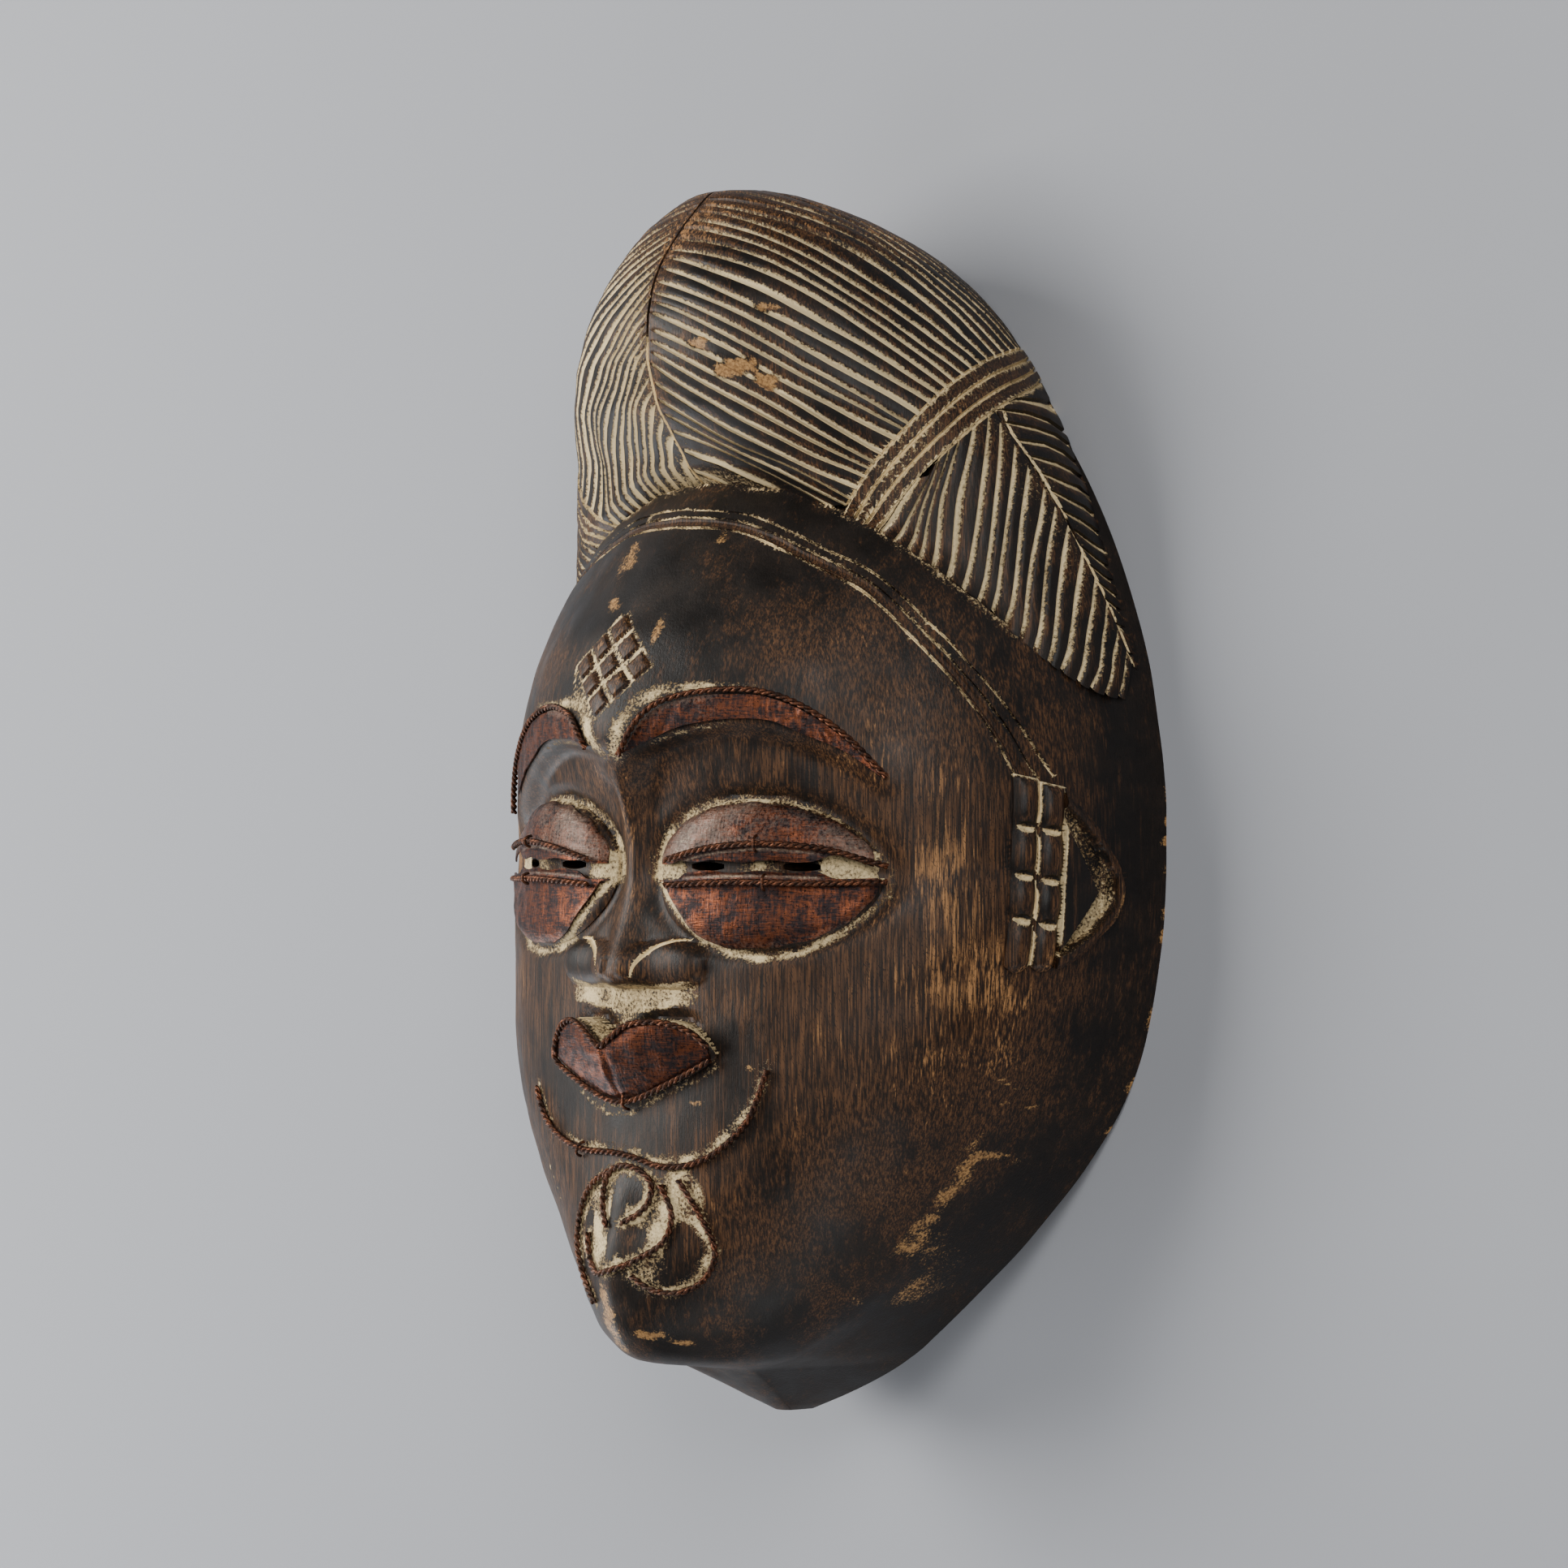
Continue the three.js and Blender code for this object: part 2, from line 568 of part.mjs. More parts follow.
// Ear block: two columns of leaf cuts in front, the curved shell and its panel behind.
function ear(side) {
  const back = (height) => along([...EAR_BACK].reverse(), 1, height);
  const rows = 5;
  const strip = (from, to, low, high) => plate(rows, 2, ...[EAR_LIFT, -4].map((lift) => (i, j) => {
    const height = low + ((high - low) * i) / rows;
    const z = from(height) + (to(height) - from(height)) * (j / 2);
    return onSide(side, z, height, lift > 0 && j !== 1 ? lift - 0.9 : lift).p;
  }));
  const front = strip(() => EAR_FRONT, () => EAR_COLUMNS[0] + 0.6, EAR_FOOT, 170.5);
  const middle = strip(() => EAR_COLUMNS[0] - 0.6, () => EAR_COLUMNS[1] + 0.6, EAR_FOOT, 169);
  const shell = strip(() => EAR_COLUMNS[1] - 0.6, back, EAR_FOOT + 1, 167.5);
  let block = front.add(middle).add(shell);
  for (const [z, heights] of EAR_LEAVES) {
    for (const height of heights) {
      const leaf = [[z - 3.4, height], [z, height + 1.5], [z + 3.4, height], [z, height - 1.5]];
      block = block.subtract(sideCut(side, leaf, 1.6));
    }
  }
  return block.subtract(sideCut(side, EAR_PANEL, 1.8));
}

function hollow() {
  const count = 12;
  return ringStack(HOLLOW.map(([height, halfWidth, depth]) => {
    const ring = Array.from({ length: count + 1 }, (_, k) => {
      const a = -Math.PI / 2 + (Math.PI * k) / count;
      return new THREE.Vector3(halfWidth * Math.sin(a), height, depth * Math.cos(a));
    });
    return [new THREE.Vector3(-halfWidth, height, -20), ...ring, new THREE.Vector3(halfWidth, height, -20)];
  }));
}

function slit(side, from, to) {
  const steps = 4;
  const outline = [];
  for (let i = 0; i <= steps; i += 1) {
    outline.push([from + ((to - from) * i) / steps, 148.4 + 0.5 * SLIT_HEIGHT * Math.sin((Math.PI * (i + 0.6)) / (steps + 1.2))]);
  }
  const under = outline.map(([x, y]) => [x, 2 * 148.4 - y]).reverse();
  return prism([...outline, ...under].map(([x, y]) => [side * x, y]), 50, 125);
}

function maskBody() {
  let body = faceShell().add(crest());
  body = body.add(lips()).add(lozenge());
  for (const side of [-1, 1]) {
    body = body.add(eyelid(side)).add(ear(side));
  }
  body = body.subtract(hollow());
  for (const side of [-1, 1]) {
    for (const [from, to] of SLITS) body = body.subtract(slit(side, from, to));
  }
  const floorCut = prism([[-130, -10], [130, -10], [130, 340], [-130, 340]], -60, 0);
  return body.subtract(floorCut);
}

// Copper sheet pieces.
const sheetLift = (x, h) => woodLift(x, h) + GAP;
const sheetTop = (x, h) => woodLift(x, h) + GAP + SHEET;

function browStrip(side) {
  const plan = (u, v) => {
    const x = 3.6 + 66 * u;
    const foot = along(BROW_FOOT, 1, x) + 0.3;
    const top = along(BROW_TOP, 1, x) - 1;
    return [side * x, foot + Math.max(top - foot, 0.5) * v];
  };
  return laidOnFace(9, 1, plan, (x, h) => sheetTop(x, h) + 1, (x, h) => sheetLift(x, h) + 1);
}

function lidPlate(side, upper) {
  const keys = upper ? LID_TOP_WIRE : LID_FOOT_WIRE;
  const plan = (u, v) => {
    const a = Math.PI * (upper ? 0.1 + 0.8 * u : 0.06 + 0.88 * u);
    const x = EYE.x - 0.9 * EYE.halfWidth * Math.cos(a);
    const rim = EYE.y + (upper ? 1 : -1) * 0.86 * EYE.halfHeight * Math.sin(a);
    const inner = along(keys, 1, x) + (upper ? -1.2 : 1.2);
    return [side * x, inner + (rim - inner) * v];
  };
  return laidOnFace(8, 2, plan, (x, h) => sheetTop(x, h) + 0.5, (x, h) => sheetLift(x, h) + 0.5);
}

function lipPlate() {
  const plan = (u, v) => lipPlan(0.5)(0.02 + 0.96 * u, v);
  return laidOnFace(12, 3, plan, (x, h) => sheetTop(x, h) + 0.3, (x, h) => sheetLift(x, h) + 0.3);
}

// Short staple over a wire: feet on either side of it, with the way across at an angle.
function staple(x, height, turn, clearance, reach = 2.1) {
  const top = woodLift(x, height) + clearance + 2 * WIRE_RADIUS;
  const stations = [-1, -0.45, 0.45, 1].map((u, i) => {
    const px = x + Math.cos(turn) * reach * u;
    const py = height + Math.sin(turn) * reach * u;
    const foot = i === 0 || i === 3;
    return onFace(px, py, foot ? woodLift(px, py) + clearance + 0.5 : top + 0.35 + STAPLE_RADIUS);
  });
  return wire(stations, STAPLE_RADIUS, 4);
}

function material(look) {
  return new THREE.MeshStandardMaterial(look);
}

// Set a solid down with the middle of its length at the origin.
function toPiece(name, solid, look) {
  const mesh = solid.getMesh();
  const geometry = new THREE.BufferGeometry();
  const flat = new Float32Array((mesh.vertProperties.length / mesh.numProp) * 3);
  for (let i = 0, k = 0; i < mesh.vertProperties.length; i += mesh.numProp, k += 3) {
    flat[k] = mesh.vertProperties[i];
    flat[k + 1] = mesh.vertProperties[i + 1] - LENGTH / 2;
    flat[k + 2] = mesh.vertProperties[i + 2];
  }
  geometry.setAttribute('position', new THREE.BufferAttribute(flat, 3));
  geometry.setIndex(new THREE.BufferAttribute(mesh.triVerts, 1));
  geometry.computeVertexNormals();
  const piece = new THREE.Mesh(geometry, material(look));
  piece.name = name;
  return piece;
}

const SHEET_WIRE = GAP + SHEET + 0.3 + 0.35;
const WOOD_WIRE = 0.6;

function lipWire(keys, rise, reach) {
  const right = keys.filter(([x]) => x < reach).map(([x, y]) => [x, y + rise]);
  right.push([reach, along(keys, 1, reach) + rise]);
  const points = [...mirrored(right.slice(1)).reverse(), ...right];
  return wireOnFace(points, 16, SHEET_WIRE);
}

const group = new THREE.Group();
group.add(toPiece('mask_body', maskBody(), WOOD));
for (const [side, word] of [[-1, 'left'], [1, 'right']]) {
  const flip = (points) => points.map(([x, y]) => [side * x, y]);
  group.add(toPiece(`brow_strip_${word}`, browStrip(side), COPPER_SHEET));
  group.add(toPiece(`eye_upper_plate_${word}`, lidPlate(side, true), COPPER_SHEET));
  group.add(toPiece(`eye_lower_plate_${word}`, lidPlate(side, false), COPPER_SHEET));
  const browPath = flip(BROW_TOP.map(([x, y]) => [x, y + 0.9]));
  group.add(toPiece(`brow_wire_${word}`, wireOnFace(browPath, 10, WOOD_WIRE + 0.3), COPPER_WIRE));
  group.add(toPiece(`eye_upper_wire_${word}`, wireOnFace(flip(LID_TOP_WIRE), 9, SHEET_WIRE + 0.6), COPPER_WIRE));
  group.add(toPiece(`eye_lower_wire_${word}`, wireOnFace(flip(LID_FOOT_WIRE), 9, SHEET_WIRE + 0.6), COPPER_WIRE));
}
for (const [side, word] of [[-1, 'left'], [1, 'right']]) {
  const upright = Math.PI / 2;
  const lid = staple(side * 42, along(LID_TOP_WIRE, 1, 42), upright, SHEET_WIRE + 0.6);
  group.add(toPiece(`eye_upper_staple_${word}`, lid, COPPER_WIRE));
  const foot = staple(side * 44, along(LID_FOOT_WIRE, 1, 44), upright, SHEET_WIRE + 0.6);
  group.add(toPiece(`eye_lower_staple_${word}`, foot, COPPER_WIRE));
}
group.add(toPiece('lip_staple', staple(-2, along(LIP_FOOT, 1, 2) - 0.3, Math.PI / 2, SHEET_WIRE + 0.9, 2.6), COPPER_WIRE));
group.add(toPiece('mouth_arc_staple', staple(-17.2, 72.6, 1.2, WOOD_WIRE), COPPER_WIRE));
group.add(toPiece('lip_plate', lipPlate(), COPPER_SHEET));
group.add(toPiece('upper_lip_wire', lipWire(LIP_TOP, -0.3, 30.4), COPPER_WIRE));
group.add(toPiece('lower_lip_wire', lipWire(LIP_FOOT, -0.3, 28.2), COPPER_WIRE));
group.add(toPiece('mouth_arc_wire', wireOnFace(MOUTH_ARC, 15, WOOD_WIRE), COPPER_WIRE));
group.add(toPiece('chin_inner_wire', wireOnFace(CHIN_INNER, 6, WOOD_WIRE), COPPER_WIRE));
group.add(toPiece('chin_middle_wire', wireOnFace(CHIN_MIDDLE, 10, WOOD_WIRE), COPPER_WIRE));
group.add(toPiece('chin_outer_wire', wireOnFace(CHIN_OUTER, 8, WOOD_WIRE), COPPER_WIRE));
group.add(toPiece('chin_far_wire', wireOnFace(CHIN_FAR, 8, WOOD_WIRE), COPPER_WIRE));

export default group;
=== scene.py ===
# %% [markdown]
# # A carved face mask with a crest of gouged hair
#
# The real mask is carved from one block of hardwood: face, collar, ears and a high crest of
# hair. The carver blackened it with smoke and oil, rubbed light clay in the cut lines, nailed
# beaten copper sheet on the brows, lids and lips, and pinned twisted copper wire round them.
#
# The mask could be sculpted by hand, but hand strokes can't be read or repeated. Here each
# surface is a formula over two parameters instead, worked out as whole numpy arrays. Sizes
# are in millimetres and heights are measured from the chin tip; one factor turns them to metres.

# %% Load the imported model
import bmesh
import bpy
import numpy as np
from mathutils import Matrix


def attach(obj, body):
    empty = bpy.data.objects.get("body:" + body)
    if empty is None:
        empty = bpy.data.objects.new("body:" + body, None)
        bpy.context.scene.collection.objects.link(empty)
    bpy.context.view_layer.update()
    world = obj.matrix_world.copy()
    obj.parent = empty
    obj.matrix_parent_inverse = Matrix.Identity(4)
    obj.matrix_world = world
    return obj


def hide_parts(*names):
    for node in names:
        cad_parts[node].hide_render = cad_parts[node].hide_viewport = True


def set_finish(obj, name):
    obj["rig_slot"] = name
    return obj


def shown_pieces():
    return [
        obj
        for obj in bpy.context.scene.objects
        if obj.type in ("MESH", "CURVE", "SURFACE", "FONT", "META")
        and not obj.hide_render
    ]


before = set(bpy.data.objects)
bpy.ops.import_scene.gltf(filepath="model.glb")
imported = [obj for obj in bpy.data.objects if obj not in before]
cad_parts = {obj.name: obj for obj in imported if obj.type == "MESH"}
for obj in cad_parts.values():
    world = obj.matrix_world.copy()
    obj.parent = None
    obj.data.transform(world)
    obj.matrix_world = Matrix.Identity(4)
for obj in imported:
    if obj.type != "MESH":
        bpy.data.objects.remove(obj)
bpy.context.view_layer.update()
MM = 0.001
LENGTH = 330
print("nodes in the frame:", len(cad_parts))

# %% [markdown]
# ## Tables of the carving
#
# A carver checks a mask with templates: a section at the brow, one at the cheek, one at the
# chin. The tables below are such templates. A smooth curve between the rows would overshoot
# with an ordinary spline, so a monotone cubic is used, which never bulges past its rows.

# %% Horizontal sections of the face and the crest
# Height, front depth, jaw half width, jaw depth, rim half width, rim depth, roundness.
FACE = np.array([
    [0, 42, 3, 40, 4, 33, 2], [5, 52, 7, 49, 15.5, 30, 2], [10, 61.5, 11, 58, 25, 27, 2],
    [13.5, 69.5, 14.5, 64, 30.5, 25.2, 2], [15, 83, 19.5, 62.5, 32.5, 24.5, 1.7],
    [17, 92.5, 25, 61, 35, 23.4, 1.6], [21, 99, 32, 59, 39, 21.6, 1.5],
    [27, 103, 40, 56, 44.5, 18.6, 1.5], [35, 104.5, 49, 51.5, 51.5, 14.8, 1.52],
    [45, 104, 58, 46.5, 60.5, 10.8, 1.63], [53, 102, 64, 42.5, 67, 8.2, 1.79],
    [67.5, 100, 73.5, 36.5, 78, 4, 2.04], [86, 99, 83.5, 31, 89.5, 1, 2.17],
    [102, 98.5, 90.5, 27, 95.8, 0, 2.12], [118, 98.5, 95, 23.5, 99.7, 0, 2.03],
    [135, 98, 98, 21, 102.3, 0, 1.99], [150, 98.5, 98.8, 19, 103, 0, 1.93],
    [163, 99.5, 98.6, 17.5, 103, 0, 1.94], [175, 102.5, 97.6, 16.5, 102, 0, 1.88],
    [187, 105, 95.6, 15, 100, 0, 1.8], [200, 103, 92.5, 13.5, 97.5, 0, 1.78],
    [208, 100.3, 90.3, 12.5, 95.2, 0, 1.77], [217, 95, 87.2, 11.5, 92, 0, 1.79],
    [226, 89.5, 83.5, 10.5, 88.4, 0, 1.77], [235, 83.3, 79.5, 9.5, 84.3, 0, 1.75],
    [244, 76.5, 75, 8.5, 79.5, 0, 1.75], [256, 64, 67, 7, 72, 0, 1.76],
    [270, 50, 56, 5, 61, 0, 1.83], [285, 34, 40, 4, 45, 0, 2.05], [298, 10, 24, 2, 28, 0, 2]])
# Height, depth of the centre, half depth, half width.
CREST = np.array([
    [188, 8, 60, 98.5], [200, 10.5, 59.5, 96.8], [210, 13, 58.5, 94], [221, 15.5, 57, 90.8],
    [232, 18.3, 55.5, 87.5], [241.7, 21, 53.3, 85.2], [250.4, 23.2, 52.3, 82.8],
    [256, 24.6, 52.7, 80.5], [263.6, 26.4, 56.1, 76.6], [272.4, 28.8, 59.5, 71.2],
    [281.1, 31.3, 59.6, 66.2], [287.7, 33.4, 57.6, 62.4], [294.3, 35.4, 54.7, 59],
    [303.1, 38.2, 48.4, 53.4], [309, 41, 42.2, 49], [315, 44.8, 34.2, 43],
    [320.6, 49.2, 25.6, 35], [325, 53, 17.9, 26], [327.6, 55.8, 12.6, 18.6],
    [329.3, 58.4, 7.2, 10.6], [330, 60, 0, 0]])
# Height, half width at the rim, depth.
HOLLOW = np.array([
    [14, 13, 44], [18, 21, 61], [25, 31, 76], [38, 43.5, 86], [60, 61, 87], [86, 77, 85.5],
    [112, 86, 84], [150, 91, 83], [178, 89.5, 85], [203, 84, 83], [225, 75.5, 73],
    [250, 64, 61], [270, 52, 60], [286, 39, 54], [296, 20, 36], [299, 6, 16]])

# %% Lines of the face, drawn from the front
HAIRLINE = np.array([[0, 250.6], [22, 249], [46, 241], [62, 231], [75.5, 219.4], [91.8, 199.3],
                     [97, 193], [112, 184]])
BROW_TOP = np.array([[5.6, 178.8], [7.6, 181], [10.4, 184.6], [13.2, 187.8], [17.2, 190.8], [25, 193.2],
                     [34, 194.2], [41, 194], [48, 192.2], [55.4, 188.2], [63.2, 181.4], [70.8, 171.8]])
BROW_FOOT = np.array([[5.6, 178.2], [9.4, 179.8], [14.4, 181.9], [25.2, 185], [36, 186.8], [45.4, 186],
                      [54.2, 182.5], [61.8, 178.2], [70.8, 170.8]])
LEFT_BROW_TOP = np.array([[7, 180.4], [8.6, 182.8], [11, 185.6], [14, 187.6], [19, 189.4], [27, 190.6],
                          [36.5, 189.4], [46, 186.2], [54, 181.6], [62, 175.4], [68, 169], [73, 162]])
LEFT_BROW_FOOT = np.array([[7, 179.8], [10, 180.6], [14.4, 181.6], [25, 182.2], [34, 180.6], [43, 177],
                           [52, 172.4], [60, 167.6], [67, 163.6], [73, 161]])
NOSE_LINE = np.array([[112, 98.9], [115.6, 99.3], [117.4, 104.6], [119.5, 105.8], [123, 105], [128, 102.8],
                      [134, 100.4], [140, 98.6], [146, 97.6], [152, 97.6], [160, 99.2], [168, 102],
                      [176, 105.3], [184.6, 108.2], [193, 106.4], [202, 102.6]])
LIP_TOP = np.array([[0, 101.2], [3.4, 103.7], [8.9, 107], [15, 107.9], [21, 107.4], [26, 105.2],
                    [29.5, 101.5], [30.8, 99.2]])
LIP_FOOT = np.array([[0, 85.7], [8, 87.5], [16, 90.8], [23, 93.6], [29, 97], [30.8, 98.2]])
LEFT_LIP_TOP = np.array([[0, 101.2], [3.4, 103.7], [8.9, 107], [14, 107.9], [18, 106.8], [22, 103.8],
                         [25, 100.2], [27.2, 96.8]])
LEFT_LIP_FOOT = np.array([[0, 85.7], [8, 87.5], [16, 90.4], [23, 93.4], [27.2, 95.8]])
LIP_ENDS = (-27.2, 30.7)
LID_TOP_WIRE = np.array([[14.5, 150], [28.6, 153.4], [42.2, 154.7], [58, 153.2], [71, 148.6]])
LID_FOOT_WIRE = np.array([[14.5, 143.4], [28.2, 144.2], [40.3, 144.4], [56, 144], [71, 144.4]])
EYE_X, EYE_Y, EYE_WIDTH, EYE_HEIGHT = 39.5, 146, 32.5, 20.5
SLIT_LINE = 148.5
LOZENGE_X, LOZENGE_Y, LOZENGE_WIDTH, LOZENGE_HEIGHT = -2.5, 201.2, 16, 14.8
MOUTH_ARC = np.array([[-42, 88], [-37, 80.5], [-29.8, 76], [-17.2, 72.6], [-5, 72.3], [3.8, 71.4],
                      [12.5, 69.4], [20, 69.6], [27.1, 71.8], [34, 76.5], [39.8, 83], [44.7, 95.3]])
CHIN_INNER = np.array([[-3, 52.5], [-5.6, 57.2], [-6.5, 62.5], [-5.2, 66.7], [-1.6, 68.8], [5, 68.2],
                       [9.9, 64.6], [9.6, 60], [6.8, 56.6], [2, 53.6]])
CHIN_MIDDLE = np.array([[13, 64.4], [16.5, 57], [14.5, 49.6], [8, 45], [1, 41.8], [-4.6, 40.4],
                        [-9.6, 43.2], [-12.8, 50.5]])
CHIN_OUTER = np.array([[18.5, 66], [24, 57.4], [27.1, 47.6], [23, 39.8], [17, 36.4], [11, 37], [6, 40.4]])
EYE_RING = np.array([[7.5, 146], [9, 153], [12, 158.2], [22, 163.4], [34, 165.8], [47, 165.5], [57, 162.6],
                     [64, 158.3], [68, 153.5], [71.8, 147.5], [71.3, 141], [67, 135.8], [62, 131.4],
                     [52.6, 126], [42, 124.4], [33, 125.8], [25, 129.5], [19, 135.2], [12, 142], [7.5, 146]])
BROW_CLAY = np.array([[3.6, 180], [6, 185.6], [9.8, 190.4], [15.2, 193.8], [24, 195.5], [34.7, 195.8],
                      [44, 195.2]])
UNDER_LIP = np.array([[-19.1, 88.1], [-12.1, 84.4], [-6.3, 82.2], [2.4, 82.4]])
LOZENGE_EDGE = np.array([[-5.5, 214.6], [-7.8, 210.6], [-12.6, 206], [-18.7, 201.3], [-17.6, 197.3],
                         [-10.9, 190.6], [-6, 186.2]])
JAW_DOTS = np.array([[-40.1, 68.9], [-34, 60.5], [-29.4, 53.1]])
CHIN_FAR = np.array([[-5.5, 67.3], [-12.4, 63.6], [-17.2, 57.4], [-19.3, 48.3], [-16.2, 38.8], [-9.4, 32.4]])


# %% [markdown]
# ## From tables to surfaces
#
# Three small functions carry the whole mask: a monotone cubic through a table, a smooth step
# and a bell. The face is then one formula: at each height a rounded arch from jaw to jaw, and
# a collar from the jaw back to the rim. Relief is a lift along the surface's own direction.

# %% Curves through tables
def along(table, at):
    """Monotone cubic through the rows: slopes are zero where the rows turn, and elsewhere the
    weighted harmonic mean of the steps on both sides. Gives every column after the first."""
    t, y = table[:, 0], table[:, 1:]
    run = np.diff(t)[:, None]
    step = np.diff(y, axis=0) / run
    left = 2 * run[1:] + run[:-1]
    right = run[1:] + 2 * run[:-1]
    both = step[:-1] * step[1:]
    turns = both <= 0
    mean = np.where(turns, 0, (left + right) * both / np.where(turns, 1, left * step[1:] + right * step[:-1]))
    slope = np.concatenate([step[:1], mean, step[-1:]])
    at = np.asarray(at, float)
    i = np.clip(np.searchsorted(t, at, side="left") - 1, 0, len(t) - 2)
    span = (t[i + 1] - t[i])[..., None]
    u = np.clip((at - t[i])[..., None] / span, 0, 1)
    w = 1 - u
    return ((1 + 2 * u) * w * w * y[i] + u * w * w * span * slope[i]
            + u * u * (3 - 2 * u) * y[i + 1] - u * u * w * span * slope[i + 1])


def ramp(low, high, at):
    """Smooth step from 0 at low to 1 at high."""
    t = np.clip((at - low) / (high - low), 0, 1)
    return t * t * (3 - 2 * t)


def hill(at, width):
    """Bell of height 1 round zero."""
    return np.exp(-(at * at) / (2 * width * width))


def ripple(points, size, seed, waves=10):
    """Soft unevenness from -1 to 1: the mean of plane sine waves with wavelengths about the
    given size, in random directions and phases."""
    rng = np.random.default_rng(seed)
    turn = rng.normal(size=(waves, 3))
    turn /= np.linalg.norm(turn, axis=1, keepdims=True)
    turn *= 2 * np.pi / (size * rng.uniform(0.7, 1.5, (waves, 1)))
    phase = rng.uniform(0, 2 * np.pi, waves)
    return np.clip(1.6 * np.sin(points @ turn.T + phase).mean(-1), -1, 1)


def hairline(x):
    """Height of the hairline: 4.5 mm lower on the left of the brow, and a little wavering."""
    lower = 4.5 * hill(x + 38, 15)
    return along(HAIRLINE, np.abs(x))[..., 0] - lower + 0.35 * np.sin(x / 5.3 + 1) * np.sin(x / 17)


# %% The face as a formula
def face_plan(height, across):
    """Arch from jaw to jaw, z = jaw + (front - jaw)(1 - f^n)^(1/n), for f up to 1; from 1 to 2
    the collar runs straight from the jaw to the rim."""
    front, jaw_x, jaw_z, rim_x, rim_z, power = np.moveaxis(along(FACE, height), -1, 0)
    f = np.minimum(np.abs(across), 1)
    collar = np.maximum(np.abs(across) - 1, 0)
    x = jaw_x * f + (rim_x - jaw_x) * collar
    z = jaw_z + (front - jaw_z) * (1 - f ** power) ** (1 / power) + (rim_z - jaw_z) * collar
    return np.stack([np.sign(across) * x, height + 0 * x, z], -1)


def unit(vectors):
    """Vectors scaled to length 1."""
    return vectors / np.maximum(np.linalg.norm(vectors, axis=-1, keepdims=True), 1e-9)


def on_face(x, height, lift=0.0):
    """Point of the face under a point of the front view, raised along the surface direction,
    which is the cross product of small steps across and up. Gives points and directions."""
    def at(px, ph):
        share = np.minimum(np.abs(px) / along(FACE, ph)[..., 1], 0.998)
        return face_plan(ph, np.sign(px) * share)
    x, height = np.broadcast_arrays(np.asarray(x, float), np.asarray(height, float))
    d = 0.5
    out = unit(np.cross(at(x + d, height) - at(x - d, height), at(x, height + d) - at(x, height - d)))
    return at(x, height) + out * np.asarray(lift)[..., None], out


def eye_distance(x, height):
    """1 on the oval round each eye, less inside it."""
    return np.hypot((np.abs(x) - EYE_X) / EYE_WIDTH, (height - EYE_Y) / EYE_HEIGHT)


def line_at(x, right, left):
    """Height of a line of the face, from the table of its side."""
    s = np.abs(x)
    return np.where(np.asarray(x) < 0, along(left, s)[..., 0], along(right, s)[..., 0])


def lip_lines(x):
    """Upper and lower outline of the lips."""
    return line_at(x, LIP_TOP, LEFT_LIP_TOP), line_at(x, LIP_FOOT, LEFT_LIP_FOOT)


def socket(x, height):
    """Sockets sink 4.5 mm under the brows."""
    s = np.abs(x)
    below = line_at(x, BROW_FOOT, LEFT_BROW_FOOT) - height
    return -4.5 * ramp(-0.5, 5.5, below) * ramp(131, 150, height) * (1 - ramp(56, 78, s))


def relief(x, height):
    """Sockets, nose ridge and wings, chin ridge, and the channel round each eye."""
    s = np.abs(x)
    lift = socket(x, height)
    nose = along(NOSE_LINE, np.clip(height, 112, 202))[..., 0]
    ridge = nose - along(FACE, height)[..., 0] - socket(0 * x, height)
    width = 3.3 + 1.3 * hill(height - 121, 6) + 8 * ramp(166, 186, height)
    lift = lift + np.where((height > 112) & (height < 202), ridge * hill(x, width), 0)
    dome = 1 - ((s - 14) / 12.5) ** 4 - ((height - 122.4) / 6.2) ** 2
    lift = lift + 3.3 * np.maximum(dome, 0) ** 0.5
    lift = lift + 1.6 * hill(x, 4) * ramp(30, 40, height) * (1 - ramp(60, 70, height))
    over_lip = height - lip_lines(x)[0]
    lift = lift - 1.9 * ramp(-1, 0.6, over_lip) * (1 - ramp(1.2, 3.2, over_lip)) * (1 - ramp(20, 28, s))
    return lift - 1.3 * hill(eye_distance(x, height) - 1, 0.06)


def lid_swell(x, height):
    """Eyelids: a flattened dome over the oval, fuller above."""
    e = np.minimum(eye_distance(x, height) / 0.97, 1)
    return (2.6 + 3.6 * ramp(134, 154, height)) * (1 - e * e) ** 0.6


def lip_swell(x, height):
    """Lips: fullest in the middle and along the upper edge, and flatter on the left."""
    top, foot = lip_lines(x)
    v = np.clip((height - foot) / (top - foot), 0, 1)
    share = np.abs(x) / np.where(np.asarray(x) < 0, 28, 31.5)
    full = 0.9 + (9.3 - 1.6 * ramp(0, -14, x)) * np.maximum(1 - share ** 2, 0) ** 0.8
    return full * (0.08 + 1.75 * v - 0.95 * v * v)


def wood_lift(x, height):
    """Height of the wood over the plain arch, lids and lips included."""
    top, foot = lip_lines(x)
    on_lip = (x > LIP_ENDS[0]) & (x < LIP_ENDS[1]) & (height < top + 0.4) & (height > foot - 0.4)
    return relief(x, height) + lid_swell(x, height) + np.where(on_lip, lip_swell(x, height), 0)


nose_tip = on_face(np.array([0.0]), np.array([118.0]), relief(np.array([0.0]), np.array([118.0])))[0]
print("nose tip at", np.round(nose_tip[0], 1))


# %% [markdown]
# ## Solids out of grids
#
# Every carved form is a closed solid: a sheet of points on top, another below and a strip
# round the edge, or a stack of rings. Closed solids can be joined and cut exactly, as the
# block and the chisel do. Each point also carries four marks: clay in the cuts, brown where
# hands have rubbed, bare where the black has chipped, and inner for the hollow side.

# %% Mesh helpers
MARKS = ("clay", "rub", "bare", "inner")


